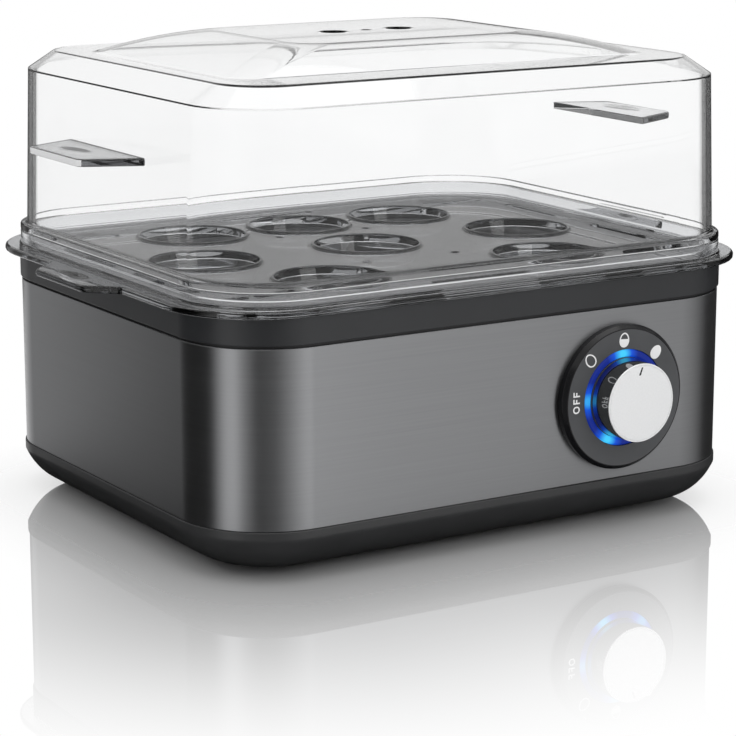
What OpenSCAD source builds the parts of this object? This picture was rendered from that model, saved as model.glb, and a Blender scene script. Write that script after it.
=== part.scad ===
// Electric egg cooker: a steel-banded base with a lit dial, an egg tray that lifts out and a clear hood.
// Millimetres. The origin lies on the countertop under the middle of the whole object.
// +Z is up and the dial faces -Y.

/* [Body] */
// Width of the steel band, side to side
body_w = 220; // [200:1:260]
// Depth of the steel band, front to back
body_d = 185; // [176:1:220]
// Plan radius of the body's corners
corner_r = 33; // [30:0.5:40]
// Height of the steel band
band_h = 62.4; // [58:0.1:80]
// Sheet thickness of the steel band
band_t = 0.8; // [0.5:0.1:1.5]
// How far the base and the rim stand proud of the band
lip = 0.5; // [0.2:0.1:1.5]
// Depth by which the base and the rim reach into the band
spigot_h = 6; // [4:0.5:12]
// Wall of those spigots
spigot_t = 2.2; // [1.5:0.1:3]

/* [Base] */
// Height of the rubber feet under the base
foot_h = 3; // [2:0.1:6]
// Diameter of a rubber foot
foot_d = 16; // [12:0.5:20]
// Distance of a foot's centre from the band's side and front
foot_inset = 36; // [34:0.5:42]
// Height of the base from its underside to the band
base_h = 15.3; // [13:0.1:20]
// Height of the straight lip at the top of the base
base_lip_h = 3.3; // [2.6:0.1:4.5]
// How far the skirt tucks in under the body
skirt_run = 12.1; // [9:0.1:14]
// Thickness of the floor of the base
floor_t = 2.2; // [1.8:0.1:3]
// Horizontal wall of the skirt
skirt_t = 1.8; // [1.4:0.1:2.4]
// Number of cooling slots in each of the two rows in the floor
floor_slots = 6; // [3:1:8]
// Length of a cooling slot
floor_slot_l = 32; // [20:1:36]

/* [Rim] */
// Height of the dark groove between the band and the rim
groove_h = 1; // [0.6:0.1:2]
// Depth of that groove behind the band's face
groove_in = 0.4; // [0.2:0.1:0.6]
// Height of the rim above the groove
rim_h = 9.8; // [9:0.1:14]
// Width of the rim's top land, from the band's face inwards
rim_land = 5.4; // [4.5:0.1:7]
// Depth of the ledge that carries the pan below the rim's top
ledge_drop = 5.5; // [5:0.1:7]
// Thickness of that ledge
ledge_t = 2.5; // [2:0.1:4]
// Gap between the pan's wall and the ledge
ledge_gap = 3; // [2:0.1:4]
// Chamfer round the rim's top edge
rim_edge = 0.8; // [0.4:0.1:1.2]
// Distance of the screw posts from the band's side and front
post_inset = 22; // [20.5:0.5:23]
// Diameter of the posts under the rim
post_d = 10; // [9:0.5:11]
// Diameter of the posts on the base
base_post_d = 12; // [11:0.5:13]
// Shank diameter of the long body screws
screw_d = 4; // [3:0.5:4.5]
// Head diameter of the long body screws
screw_head_d = 7.4; // [6:0.1:7.8]

/* [Pan] */
// Distance from the band's face to the wall of the pan
pan_inset = 18; // [16:0.5:20]
// Plan radius of the pan's corners
pan_r = 38; // [34:0.5:44]
// Depth of the pan below its flange
pan_depth = 17.8; // [16:0.1:18.5]
// Sheet thickness of the pan
pan_t = 1; // [0.6:0.1:1.5]
// Width of the pan's flange
pan_flange = 11; // [9:0.5:11.5]
// Radius where the pan's wall meets its floor
pan_fillet = 6; // [4:0.5:8]
// Thickness of the silicone seal under the flange
seal_t = 0.8; // [0.5:0.1:1.2]

/* [Heater] */
// Diameter of the aluminium heat plate
heat_plate_d = 124; // [114:1:130]
// Thickness of the heat plate
heat_plate_t = 4; // [3.5:0.1:5]
// Diameter of the heating tube
tube_d = 6.6; // [5.5:0.1:7]
// Radius of the ring that the heating tube makes
tube_ring_r = 48; // [46:0.5:50]
// Half the angle left open between the ends of the ring
tube_gap_a = 26; // [20:1:35]
// Diameter of the stud that carries the clamp bar
stud_d = 5; // [4:0.5:6]
// Distance of the thermostat and the fuse from the middle of the heat plate
sensor_out = 26; // [24:0.5:29]
// Diameter of the thermostat's case
thermostat_d = 17; // [14:0.5:18]
// Length, width and height of the thermal fuse's sleeve
fuse = [22, 7, 6];
// Sheet thickness of the heat shield, and half that of the clamp bar
sheet_t = 0.8; // [0.6:0.1:1.2]
// Height of the heat shield above the underside of the base
shield_up = 47; // [44:0.5:48]

/* [Tray] */
// Thickness of the tray's plate
plate_t = 2.6; // [2:0.1:3.5]
// How far the flange reaches past the band at the sides
flange_side = 6; // [4:0.1:8]
// How far the flange reaches past the band at the front and back
flange_front = 3.3; // [2:0.1:6]
// Plan radius of the flange's corners
flange_r = 36; // [30:0.5:42]
// Height of the wall that carries the lid
tray_wall_h = 5.2; // [4.5:0.1:9]
// Thickness of that wall
tray_wall_t = 2; // [1.5:0.1:2.5]
// Depth of the rib that locates the tray in the rim
rib_h = 3; // [2:0.1:3.4]
// Thickness of that rib
rib_t = 1.8; // [1.2:0.1:2.5]
// Reach of the lifting tabs past the flange
tab_out = 10.3; // [8:0.1:14]
// Length of a lifting tab at the flange
tab_root = 57; // [50:1:64]
// Length of a lifting tab at its outer edge
tab_tip = 38; // [32:1:44]
// Diameter of the open bottom of an egg seat
seat_d = 33; // [28:0.5:34]
// Diameter of an egg seat at the deck
seat_top_d = 39; // [37:0.5:40]
// Depth of an egg seat below the deck
seat_depth = 8; // [6:0.5:9]
// Wall of an egg seat
seat_t = 1.4; // [1:0.1:1.8]
// Height of the lip round an egg seat
seat_lip = 0.8; // [0.4:0.1:1.5]
// Distance from the pan's wall to the middle of the outer seats
seat_edge = 24; // [23:0.5:26]
// Spacing of the seats in a row
seat_pitch = 46; // [43:0.5:48]
// Width of the steam slots
slot_w = 4; // [2.5:0.1:4]
// Length of the steam slots at the sides
slot_l = 42; // [30:1:46]
// Lengths of the two steam slots at each corner
corner_slots = [16, 9];
// Diameter of the drain holes
drain_d = 3; // [2:0.5:5]

/* [Lid] */
// Height of the lid's wall from the rim to the shoulder
lid_wall_h = 57.5; // [45:0.5:75]
// Thickness of the lid
lid_t = 2.2; // [1.8:0.1:3]
// Height of the lid's rim
lid_rim_h = 2.5; // [2:0.1:4]
// Depth of the lip that sits inside the tray's wall
lid_lip_h = 3.3; // [2:0.1:4]
// How far the wall leans in over its height
lid_draft = 1.9; // [1:0.1:4]
// How far the shoulder chamfer runs in
shoulder_run = 9.7; // [7:0.1:12]
// Height of the shoulder chamfer
shoulder_h = 6.5; // [4:0.1:9]
// Flat shelf at the sides between the shoulder and the crown
shelf_side = 10.6; // [6:0.1:14]
// Flat shelf at the front and back between the shoulder and the crown
shelf_front = 20; // [12:0.5:24]
// Height of the crown
crown_h = 8; // [5:0.1:12]
// Length and depth of the crown's flat top
crown_top = [98, 73];
// Plan radius of the crown's flat top
crown_top_r = 13; // [8:0.5:18]
// Plan radius of the crown's foot
crown_foot_r = 10; // [6:0.5:14]
// Swell of the crown's sloping sides
crown_swell = 1.4; // [0.4:0.1:2]
// Diameter of a steam vent
vent_d = 9.5; // [8:0.1:12]
// Spacing of the two steam vents
vent_pitch = 28; // [20:0.5:40]
// Height of the top of the handles above the lid's rim
handle_up = 36; // [28:0.5:40]
// Thickness of a handle plate
handle_t = 2.7; // [2:0.1:4]
// Distance from the middle of the lid to the edge of a handle, past the band
handle_out = 17; // [12:0.5:20]
// Length of a handle where it leaves the wall
handle_root = 60; // [50:1:70]
// Length of a handle at its outer edge
handle_tip = 40; // [32:1:48]
// Corner radius of handles and tabs
grip_r = 4; // [2:0.5:6]
// Depth of the finger dish in a handle or tab
dish_depth = 0.9; // [0.4:0.1:1.2]

/* [Dial] */
// Distance of the dial's axis from the band's right side
dial_side = 61.4; // [58:0.1:90]
// Height of the dial's axis above the lower edge of the band
dial_up = 30.3; // [29:0.1:33]
// Diameter of the dial plate
dial_d = 52.8; // [50:0.1:56]
// Thickness of the dial plate
dial_t = 3.8; // [3.4:0.1:5]
// Width and height of the bevel round the dial plate
dial_bevel = 1.5; // [1:0.1:2.6]
// Outer diameter of the light ring
light_d = 34.8; // [34.4:0.1:36.4]
// Radial width of the light ring
light_w = 2.7; // [2.4:0.1:3]
// Number of lamps behind the light ring
lamps = 12; // [8:1:16]
// Diameter of the light passages behind the ring
lamp_hole_d = 2.3; // [2:0.1:2.3]
// Depth of the dial plate's spigot behind the band's face
dial_spigot_h = 4; // [3:0.1:5]
// Diameter of that spigot
dial_spigot_d = 42; // [41.4:0.1:43]
// Wall of that spigot
dial_spigot_t = 1.4; // [1:0.1:1.5]
// Width and thickness of the ring that holds the dial plate
retainer = [3.2, 1.2];
// Diameter of the knob's face
knob_d = 28.4; // [26:0.1:28.6]
// Radial widening of the knob's skirt from its face to its foot
knob_flare = 0.4; // [0:0.1:0.5]
// Distance of the knob's face in front of the band
knob_out = 13.6; // [13.2:0.1:20]
// Wall of the knob's skirt
knob_t = 1.5; // [1.2:0.1:2]
// Thickness of the knob's face behind its cap
knob_face_t = 2; // [1.5:0.1:2.5]
// Thickness of the knob's cap
cap_t = 1.6; // [1.2:0.1:2]
// Width of the knob's edge round its cap
cap_edge = 0.7; // [0.6:0.1:1.2]
// Width, length and depth of the three-cornered pointer notch in the cap
pointer = [2.4, 2.8, 0.5];
// Distance of the pointer notch from the cap's edge
pointer_edge = 0.6; // [0.4:0.1:3]
// Diameter of the control's shaft
shaft_d = 6; // [5:0.5:6]
// Depth of the flat on the shaft
shaft_flat = 1; // [0.5:0.1:1.5]
// Diameter of the control's threaded bush
bush_d = 9; // [8.5:0.1:10]
// How far the bush stands out of its nut
bush_proud = 0.8; // [0.4:0.1:1.5]
// Width of the control's square case
control_w = 16; // [13:0.5:16]
// Depth of the control's case
control_l = 12; // [10:0.5:13]
// Thickness of the nut on the bush
nut_t = 2.4; // [2:0.1:2.6]
// Width of the nut across its flats
nut_af = 13; // [12:0.5:15]

/* [Electrics] */
// Length and depth of the control board
board = [96, 58];
// Middle of the control board
board_at = [-34, 8];
// Thickness of the control board and the lamp board
board_t = 1.6; // [1:0.1:2]
// Height of the control board above the floor
board_up = 9; // [6:0.5:14]
// Distance of the board's screws from its edges
board_edge = 5; // [4:0.5:7]
// Shank diameter of the board's screws
board_screw_d = 2.4; // [2:0.1:3]
// Diameter of the posts under the board
board_post_d = 7; // [6:0.5:8]
// Length, width and height of the relay
relay_size = [19, 15.5, 15];
// Diameter and height of the sounder
buzzer_size = [12, 8.5];
// Diameter and height of a capacitor
capacitor_size = [8, 12];
// Length per way, width and height of the mains terminal block
terminal_size = [11, 18, 15];
// Distance of the cord gland left of the middle
gland_x = 58; // [40:1:70]
// Height of the cord gland above the lower edge of the band
gland_up = 16; // [14:0.5:20]
// Bore of the cord gland
gland_bore = 6.6; // [6:0.1:7.5]
// Outside diameter of the gland's sleeve
gland_d = 12; // [11:0.5:13]
// Width and thickness of the gland's flange
gland_flange = [2.5, 2.6];
// Length of the gland's sleeve behind the band's face
gland_l = 9; // [7:0.5:12]
// Thickness of the gland's nut
gland_nut_t = 4; // [3:0.5:5]

/* [Clearances] */
// Gap between pieces that slide into one another by hand
slip = 0.5; // [0.3:0.1:0.8]
// Gap between pieces that are assembled once
fit = 0.2; // [0.1:0.05:0.3]
// Radial gap of the turning shaft
run_fit = 0.05; // [0.03:0.01:0.08]

/* [Hidden] */
$fn = 64;
slab = 0.02;
over = 1;

// Levels, from the countertop up
base_z = foot_h;
floor_z = base_z + floor_t;
band_z = base_z + base_h;
band_top = band_z + band_h;
rim_z = band_top + groove_h;
rim_top = rim_z + rim_h;
ledge_z = rim_top - ledge_drop;
pan_lip_z = ledge_z + seal_t;
pan_floor_z = pan_lip_z + pan_t - pan_depth;
heat_z = pan_floor_z - pan_t;
tube_z = heat_z - heat_plate_t;
clamp_z = tube_z - tube_d / 2;
shield_z = base_z + shield_up;
shield_top = shield_z + sheet_t;
deck_z = rim_top + plate_t;
lid_z = deck_z + tray_wall_h;
lid_rim_top = lid_z + lid_rim_h;
shoulder_z = lid_rim_top + lid_wall_h;
lid_top = shoulder_z + shoulder_h;
handle_z = lid_rim_top + handle_up - handle_t;
board_z = floor_z + board_up;

// Insets from the band's face
band_in = band_t + fit;
spigot_in = band_in + spigot_t;
lid_in = tray_wall_t + slip;
shoulder_in = lid_in + lid_draft + shoulder_run;

// Plan sizes
pan_w = body_w - 2 * pan_inset;
pan_d = body_d - 2 * pan_inset;
crown_foot = [
    body_w - 2 * (shoulder_in + shelf_side),
    body_d - 2 * (shoulder_in + shelf_front)
];
post_xy = [body_w / 2 - post_inset, body_d / 2 - post_inset];
foot_xy = [body_w / 2 - foot_inset, body_d / 2 - foot_inset];
board_holes = board / 2 - [board_edge, board_edge];
dial_x = body_w / 2 - dial_side;

// Egg seats: one in each corner, one at the back, one at each side and one in the middle
seat_x = pan_w / 2 - seat_edge;
seat_y = pan_d / 2 - seat_edge;
SEATS = [
    [-seat_pitch, -seat_y],
    [seat_pitch, -seat_y],
    [-seat_x, 0],
    [0, 0],
    [seat_x, 0],
    [-seat_pitch, seat_y],
    [0, seat_y],
    [seat_pitch, seat_y]
];

// Dial stack, measured forwards from the band's face
light_r = light_d / 2;
lamp_wall = dial_t - light_w + fit;
bush_l = dial_t + nut_t + bush_proud;
lamp_r = light_r - light_w / 2;
lamp_chip = [1, 1, 0.5] * light_w / 2;
spigot_r = dial_spigot_d / 2;
knob_z = dial_t + slip;
knob_r = knob_d / 2;
face_z = knob_out - cap_t;
control_t = control_l / 6;
hub_z = bush_l + slip;
hub_r = 0.9 * shaft_d;
clip_t = 0.12 * shaft_d;

// Corners of a rectangle, as signs
CORNERS = [[-1, -1], [1, -1], [1, 1], [-1, 1]];

// Point at t on a curve drawn by three points
function curve(a, b, c, t) = a * pow(1 - t, 2) + b * 2 * t * (1 - t) + c * t * t;

// Unit vector
function unit(v) = v / norm(v);

// Points that round the corner at p between its neighbours a and b
function rounded(a, p, b, r, steps = 6) =
    let (u = unit(a - p), v = unit(b - p), half = acos(u * v) / 2)
    let (m = p + unit(u + v) * r / sin(half), from = p + u * r / tan(half) - m)
    let (to = p + v * r / tan(half) - m)
    [for (i = [0:steps]) m + unit(from * (steps - i) + to * i) * r];

// Rectangle with round corners, centred
module rounded_rect(w, d, r) {
    square([w - 2 * r, d], center = true);
    square([w, d - 2 * r], center = true);
    for (s = CORNERS) translate([s.x * (w / 2 - r), s.y * (d / 2 - r)]) circle(r);
}

// The body's plan, drawn in by a distance
module plan(inset) {
    rounded_rect(body_w - 2 * inset, body_d - 2 * inset, corner_r - inset);
}

// Wall of the body's plan between two insets
module plan_ring(z, h, outer, inner) {
    translate([0, 0, z]) linear_extrude(h) difference() {
        plan(outer);
        plan(inner);
    }
}

// Carries a profile round a rounded rectangle: its x points out from the edge and its y up
module carried_round(w, d, r) {
    for (i = [0:3]) {
        side = i % 2 == 0 ? [w, d] : [d, w];
        rotate(90 * i) {
            translate([side.x / 2 - r, side.y / 2 - r]) rotate_extrude(angle = 90) translate([r, 0]) children();
            translate([side.x / 2, 0]) rotate([90, 0, 0])
                linear_extrude(side.y - 2 * r, center = true) children();
        }
    }
}

// Places a child at each of four mirrored points
module at_corners(xy) {
    for (s = CORNERS) translate([s.x * xy.x, s.y * xy.y]) children();
}

// Turns the dial's own axes into place: z points forwards out of the band
module at_dial() {
    translate([dial_x, -body_d / 2, band_z + dial_up]) rotate([90, 0, 0]) children();
}

// Turns the gland's own axes into place: z points backwards out of the band
module at_gland() {
    translate([-gland_x, body_d / 2, band_z + gland_up]) rotate([-90, 0, 0]) children();
}

// Ring with its foot at z
module ring(r, bore_r, z, h) {
    translate([0, 0, z]) difference() {
        cylinder(r = r, h = h);
        translate([0, 0, -h]) cylinder(r = bore_r, h = 3 * h);
    }
}

// Grip plate that points to +X, wide at its root and narrow at its tip
module grip_outline(x0, x1, root, tip) {
    a = [x0, -root / 2];
    b = [x1, -tip / 2];
    c = [x1, tip / 2];
    d = [x0, root / 2];
    polygon(concat([a], rounded(a, b, c, grip_r), rounded(b, c, d, grip_r), [d]));
}

// Oval dish for a finger, cut down from z = 0: the lowest stretch of a large ring that stands on edge
module finger_dish(length, width) {
    bend = pow(length / 2, 2) / (2 * dish_depth);
    tube = pow(width / 2, 2) / (2 * dish_depth);
    intersection() {
        translate([0, 0, bend - dish_depth]) rotate([0, 90, 0]) rotate(-15)
            rotate_extrude(angle = 30) translate([bend - tube, 0]) circle(tube);
        cube([width + 4, length + 4, 4 * dish_depth], center = true);
    }
}

// Slot with round ends along X
module slot_outline(l, w) {
    square([l - w, w], center = true);
    for (s = [-1, 1]) translate([s * (l - w) / 2, 0]) circle(d = w);
}

// Bottom housing: tucked-under skirt, floor, spigot for the band, screw posts and board posts
module base_shell() {
    edge = [lip, band_z - base_lip_h];
    foot = [lip - skirt_run, base_z];
    bend = [lip - skirt_run / 3, base_z + (edge.y - base_z) / 4];
    wall = [-skirt_t, floor_t];
    steps = 8;
    outer = [for (i = [0:steps]) curve(edge, bend, foot, i / steps)];
    inner = [for (i = [steps:-1:0]) curve(edge, bend, foot, i / steps) + wall];
    top = [
        [-spigot_in, edge.y + floor_t], [-spigot_in, band_z + spigot_h], [-band_in, band_z + spigot_h],
        [-band_in, band_z], [lip, band_z]
    ];
    slot_pitch = 2 * slot_w;
    color("#222426") difference() {
        union() {
            carried_round(body_w, body_d, corner_r) polygon(concat(outer, inner, top));
            translate([0, 0, base_z]) linear_extrude(floor_t) plan(skirt_run - lip);
            at_corners(post_xy) translate([0, 0, base_z]) cylinder(d = base_post_d, h = shield_up);
            translate([board_at.x, board_at.y, base_z]) at_corners(board_holes)
                cylinder(d = board_post_d, h = board_z - base_z);
        }
        at_corners(post_xy) {
            cylinder(d = screw_d + 2 * fit, h = shield_top);
            cylinder(d = screw_head_d + 2 * slip, h = band_z);
        }
        at_corners(foot_xy) cylinder(d = foot_d / 2 + 2 * fit, h = floor_z + over);
        translate([board_at.x, board_at.y, floor_z + over]) at_corners(board_holes)
            cylinder(d = board_screw_d + fit, h = board_up);
        for (side = [-1, 1], i = [0:floor_slots - 1])
            translate([side * 0.8 * floor_slot_l, (i - (floor_slots - 1) / 2) * slot_pitch, 0])
                linear_extrude(floor_z + over) slot_outline(floor_slot_l, slot_w);
    }
}

// Push-in rubber feet
module rubber_feet() {
    r = foot_d / 2;
    plug_r = r / 2;
    barb = r / 10;
    plug_top = floor_z + floor_t;
    color("#1a1a1a") at_corners(foot_xy) rotate_extrude() polygon([
        [0, 0], [r - barb, 0], [r, barb], [r, foot_h], [plug_r, foot_h], [plug_r, floor_z],
        [plug_r + barb, floor_z], [plug_r - barb, plug_top], [0, plug_top]
    ]);
}

// Long screws that tie the base, the heat shield and the rim together
module body_screws() {
    head_h = 0.75 * screw_d;
    tip_z = ledge_z - ledge_t - 2.5 * screw_d;
    color("#9a9da0") at_corners(post_xy) {
        translate([0, 0, band_z - head_h]) difference() {
            cylinder(d = screw_head_d, h = head_h);
            translate([0, 0, -over]) cylinder(d = screw_d, h = over + head_h / 2, $fn = 6);
        }
        translate([0, 0, band_z - slab]) cylinder(d = screw_d, h = tip_z - band_z);
    }
}

// Steel sleeve with the openings for the dial and the cord gland
module steel_band() {
    color("#8a8d90") difference() {
        plan_ring(band_z, band_h, 0, band_t);
        at_dial() translate([0, 0, -band_t * 2]) cylinder(r = spigot_r + fit, h = band_t * 4);
        at_gland() translate([0, 0, -band_t * 2]) cylinder(d = gland_d + 2 * fit, h = band_t * 4);
    }
}

// Ring that the tray rests on, with the pan's ledge and the upper screw posts
module upper_rim() {
    ledge_bottom = ledge_z - ledge_t;
    color("#38393c") difference() {
        union() {
            carried_round(body_w, body_d, corner_r) polygon([
                [-band_in, band_top - spigot_h], [-band_in, band_top], [-groove_in, band_top],
                [-groove_in, rim_z], [lip, rim_z], [lip, rim_top - rim_edge], [lip - rim_edge, rim_top],
                [-rim_land, rim_top], [-rim_land, ledge_bottom], [-spigot_in, ledge_bottom],
                [-spigot_in, band_top - spigot_h]
            ]);
            translate([0, 0, ledge_bottom]) linear_extrude(ledge_t) difference() {
                plan(spigot_in);
                rounded_rect(pan_w + 2 * ledge_gap, pan_d + 2 * ledge_gap, pan_r + ledge_gap);
            }
            at_corners(post_xy) translate([0, 0, shield_top])
                cylinder(d = post_d, h = ledge_bottom - shield_top + over);
        }
        at_corners(post_xy) translate([0, 0, shield_top - over])
            cylinder(d = screw_d + fit, h = ledge_bottom - shield_top - 1.5 * screw_d);
    }
}

// Water pan: flange, drawn wall with a round foot, and a floor
module boil_pan() {
    flange_top = pan_lip_z + pan_t;
    turn = [-pan_fillet, pan_floor_z + pan_fillet];
    outer = [for (a = [0:-15:-90]) turn + [cos(a), sin(a)] * (pan_fillet + pan_t)];
    inner = [for (a = [-90:15:0]) turn + [cos(a), sin(a)] * pan_fillet];
    color("#3c3d3f") {
        carried_round(pan_w, pan_d, pan_r) polygon(concat(
            [[pan_flange, flange_top], [pan_flange, pan_lip_z], [pan_t, pan_lip_z]],
            outer, inner, [[0, flange_top]]
        ));
        translate([0, 0, pan_floor_z - pan_t]) linear_extrude(pan_t)
            rounded_rect(pan_w - 2 * pan_fillet, pan_d - 2 * pan_fillet, pan_r - pan_fillet);
    }
}

// Silicone seal between the pan's flange and the ledge
module pan_seal() {
    seal_w = pan_flange - 2 * slip;
    seal_gap = ledge_gap + 2 * slip;
    color("#c8c4bc") translate([0, 0, ledge_z]) linear_extrude(seal_t) difference() {
        rounded_rect(pan_w + 2 * seal_w, pan_d + 2 * seal_w, pan_r + seal_w);
        rounded_rect(pan_w + 2 * seal_gap, pan_d + 2 * seal_gap, pan_r + seal_gap);
    }
}

// Path of the heating tube, as a ring of the given tube radius
module tube_ring(r) {
    rotate(90 + tube_gap_a) rotate_extrude(angle = 360 - 2 * tube_gap_a) translate([tube_ring_r, 0]) circle(r);
}

// Aluminium plate under the pan, grooved for the tube, with the clamp's stud
module heat_plate() {
    stud_l = tube_d / 2 + 1.6 * stud_d;
    color("#a9acaf") difference() {
        union() {
            translate([0, 0, tube_z]) cylinder(d = heat_plate_d, h = heat_plate_t);
            translate([0, 0, tube_z - stud_l]) cylinder(d = stud_d, h = stud_l + over);
        }
        translate([0, 0, tube_z]) rotate_extrude() translate([tube_ring_r, 0]) circle(tube_d / 2 + run_fit);
    }
}

// Heating tube with its turned-down ends and terminal pins
module heating_element() {
    tail = 1.4 * tube_d;
    pin_l = 0.5 * tube_d;
    color("#5c5a58") translate([0, 0, tube_z]) {
        tube_ring(tube_d / 2);
        for (s = [-1, 1]) rotate(90 + s * tube_gap_a) translate([tube_ring_r, 0]) {
            sphere(d = tube_d);
            translate([0, 0, -tail]) cylinder(d = tube_d, h = tail);
            translate([0, 0, -tail - pin_l]) cylinder(d = 0.36 * tube_d, h = pin_l + over);
        }
    }
}

// Bar that presses the tube into its groove
module heater_clamp() {
    color("#8f9296") translate([0, 0, clamp_z - 2 * sheet_t]) linear_extrude(2 * sheet_t) difference() {
        slot_outline(2 * tube_ring_r + 3 * tube_d, 2 * tube_d);
        circle(d = stud_d + 2 * fit);
    }
}

// Nut under the clamp bar
module clamp_nut() {
    nut_h = 0.8 * stud_d;
    color("#9a9da0") translate([0, 0, clamp_z - 2 * sheet_t - nut_h]) difference() {
        cylinder(d = 1.84 * stud_d, h = nut_h, $fn = 6);
        translate([0, 0, -over]) cylinder(d = stud_d + fit, h = nut_h + 2 * over);
    }
}

// Disc thermostat that rests against the heat plate
module thermostat() {
    flange_t = 0.06 * thermostat_d;
    case_h = 0.35 * thermostat_d;
    blade = [0.05, 0.37, 0.36] * thermostat_d;
    color("#2b2b2d") translate([0, -sensor_out, tube_z]) {
        translate([0, 0, -flange_t]) cylinder(d = 1.3 * thermostat_d, h = flange_t);
        translate([0, 0, -case_h]) cylinder(d = thermostat_d, h = case_h - flange_t / 2);
        for (s = [-1, 1]) translate([s * 0.32 * thermostat_d, 0, -case_h - blade.z / 2 + flange_t / 2])
            cube(blade, center = true);
    }
}

// Thermal fuse in its ceramic sleeve against the heat plate
module thermal_fuse() {
    color("#d8d2c4") translate([0, sensor_out, tube_z - fuse.z / 2]) {
        cube(fuse, center = true);
        rotate([0, 90, 0]) cylinder(d = fuse.z / 5, h = 1.5 * fuse.x, center = true);
    }
}

// Sheet held between the lower and upper posts, notched behind the dial
module heat_shield() {
    dial_notch = [2.5 * control_w, 3 * control_l];
    gland_notch = [2.3, 2.5] * gland_d;
    color("#b4b7ba") translate([0, 0, shield_z]) linear_extrude(sheet_t) difference() {
        plan(spigot_in + pan_inset / 2);
        at_corners(post_xy) circle(d = screw_d + 2 * fit);
        translate([dial_x - dial_notch.x / 2, -body_d / 2]) square(dial_notch);
        translate([-gland_x - gland_notch.x / 2, body_d / 2 - gland_notch.y]) square(gland_notch);
    }
}

// Round plate with its bevel, groove for the light, light passages and spigot
module dial_plate() {
    r = dial_d / 2;
    groove_r = [light_r + fit / 2, light_r - light_w - fit / 2];
    color("#46484c") at_dial() difference() {
        union() {
            rotate_extrude() polygon([
                [0, 0], [r, 0], [r, dial_t - dial_bevel], [r - dial_bevel, dial_t], [0, dial_t]
            ]);
            ring(spigot_r, spigot_r - dial_spigot_t, -dial_spigot_h, dial_spigot_h + slab);
        }
        translate([0, 0, -over]) cylinder(d = bush_d + 2 * fit, h = dial_t + 2 * over);
        ring(groove_r[0], groove_r[1], lamp_wall, dial_t);
        for (i = [0:lamps - 1]) rotate(360 / lamps * i) translate([lamp_r, 0, -over])
            cylinder(d = lamp_hole_d, h = dial_t);
    }
}

// Push-on ring that holds the dial plate from behind the band
module dial_retainer() {
    color("#7d8084") at_dial()
        ring(spigot_r + retainer[0], spigot_r + run_fit, -band_t - retainer[1], retainer[1]);
}

// Clear ring that spreads the light
module light_ring() {
    color("#1460ff") at_dial() ring(light_r, light_r - light_w, lamp_wall, dial_t - lamp_wall + fit);
}

// Ring-shaped board with one lamp in each light passage
module led_board() {
    color("#1d5b3a") at_dial() {
        ring(spigot_r - dial_spigot_t - fit, control_w * sqrt(2) / 2 + slip, -board_t, board_t);
        for (i = [0:lamps - 1]) rotate(360 / lamps * i) translate([lamp_r, 0, lamp_chip.z / 2])
            cube(lamp_chip, center = true);
    }
}

// Rotary control: square case, threaded bush and rear terminals
module rotary_control() {
    bore_r = shaft_d / 2 + run_fit;
    pin = [0.08, 0.2, 0.3] * control_w;
    color("#33557a") at_dial() difference() {
        union() {
            translate([0, 0, -control_l / 2]) cube([control_w, control_w, control_l], center = true);
            translate([0, 0, -over]) cylinder(d = bush_d, h = bush_l + over);
            for (i = [-1:1]) translate([i * 0.3 * control_w, 0, -control_l - pin.z / 2 + over / 2])
                cube(pin, center = true);
        }
        translate([0, 0, control_t - control_l]) cylinder(r = bore_r, h = control_l + bush_l);
    }
}

// Nut that clamps the control to the dial plate
module control_nut() {
    color("#a4a7aa") at_dial() translate([0, 0, dial_t]) difference() {
        cylinder(r = nut_af / sqrt(3), h = nut_t, $fn = 6);
        translate([0, 0, -over]) cylinder(d = bush_d + fit, h = nut_t + 2 * over);
    }
}

// Shaft section with its flat, enlarged by a clearance
module flatted(clear) {
    r = shaft_d / 2 + clear;
    difference() {
        circle(r);
        translate([-r, shaft_d / 2 - shaft_flat + clear]) square([2 * r, r]);
    }
}

// Control shaft: round in the bush, flatted in the knob
module control_shaft() {
    tip = face_z - 2 * slip;
    foot = control_t + slip - control_l;
    color("#c2c4c6") at_dial() {
        translate([0, 0, foot]) cylinder(d = shaft_d, h = bush_l - foot);
        translate([0, 0, bush_l]) linear_extrude(tip - bush_l) flatted(0);
    }
}

// Knob: turned skirt, face with the cap's recess, and a hub for the shaft
module knob() {
    recess_r = knob_r - cap_edge;
    foot_r = knob_r + knob_flare;
    edge = cap_edge / 2;
    color("#c9ccd0") at_dial() difference() {
        union() {
            rotate_extrude() polygon([
                [knob_r - knob_t, knob_z], [foot_r - edge, knob_z], [foot_r, knob_z + edge],
                [knob_r, knob_out - edge], [knob_r - edge, knob_out], [recess_r, knob_out], [recess_r, face_z],
                [0, face_z], [0, face_z - knob_face_t], [knob_r - knob_t, face_z - knob_face_t]
            ]);
            translate([0, 0, hub_z]) cylinder(r = hub_r, h = face_z - hub_z);
        }
        translate([0, 0, hub_z - over]) linear_extrude(face_z - slip - hub_z + over) flatted(run_fit / 2);
    }
}

// Satin cap in the knob's face with its pointer notch
module knob_cap() {
    cap_r = knob_r - cap_edge - fit;
    color("#e4e6e8") at_dial() translate([0, 0, face_z]) difference() {
        cylinder(r = cap_r, h = cap_t);
        translate([0, cap_r - pointer_edge, cap_t - pointer.z]) linear_extrude(pointer.z + over)
            polygon([[0, 0], [-pointer.x / 2, -pointer.y], [pointer.x / 2, -pointer.y]]);
    }
}

// Split spring ring that grips the knob's hub
module knob_clip() {
    slit = 2 * clip_t;
    clip_l = face_z - knob_face_t - hub_z - 2 * slip;
    color("#8f9296") at_dial() difference() {
        ring(hub_r + run_fit + clip_t, hub_r + run_fit, hub_z + slip, clip_l);
        translate([-slit / 2, 0, 0]) cube([slit, 2 * hub_r, knob_out]);
    }
}

// Places a child on top of the control board, at a share of its length and depth from its middle
module on_board(share) {
    translate([board_at.x + share.x * board.x, board_at.y + share.y * board.y, board_z + board_t]) children();
}

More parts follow.
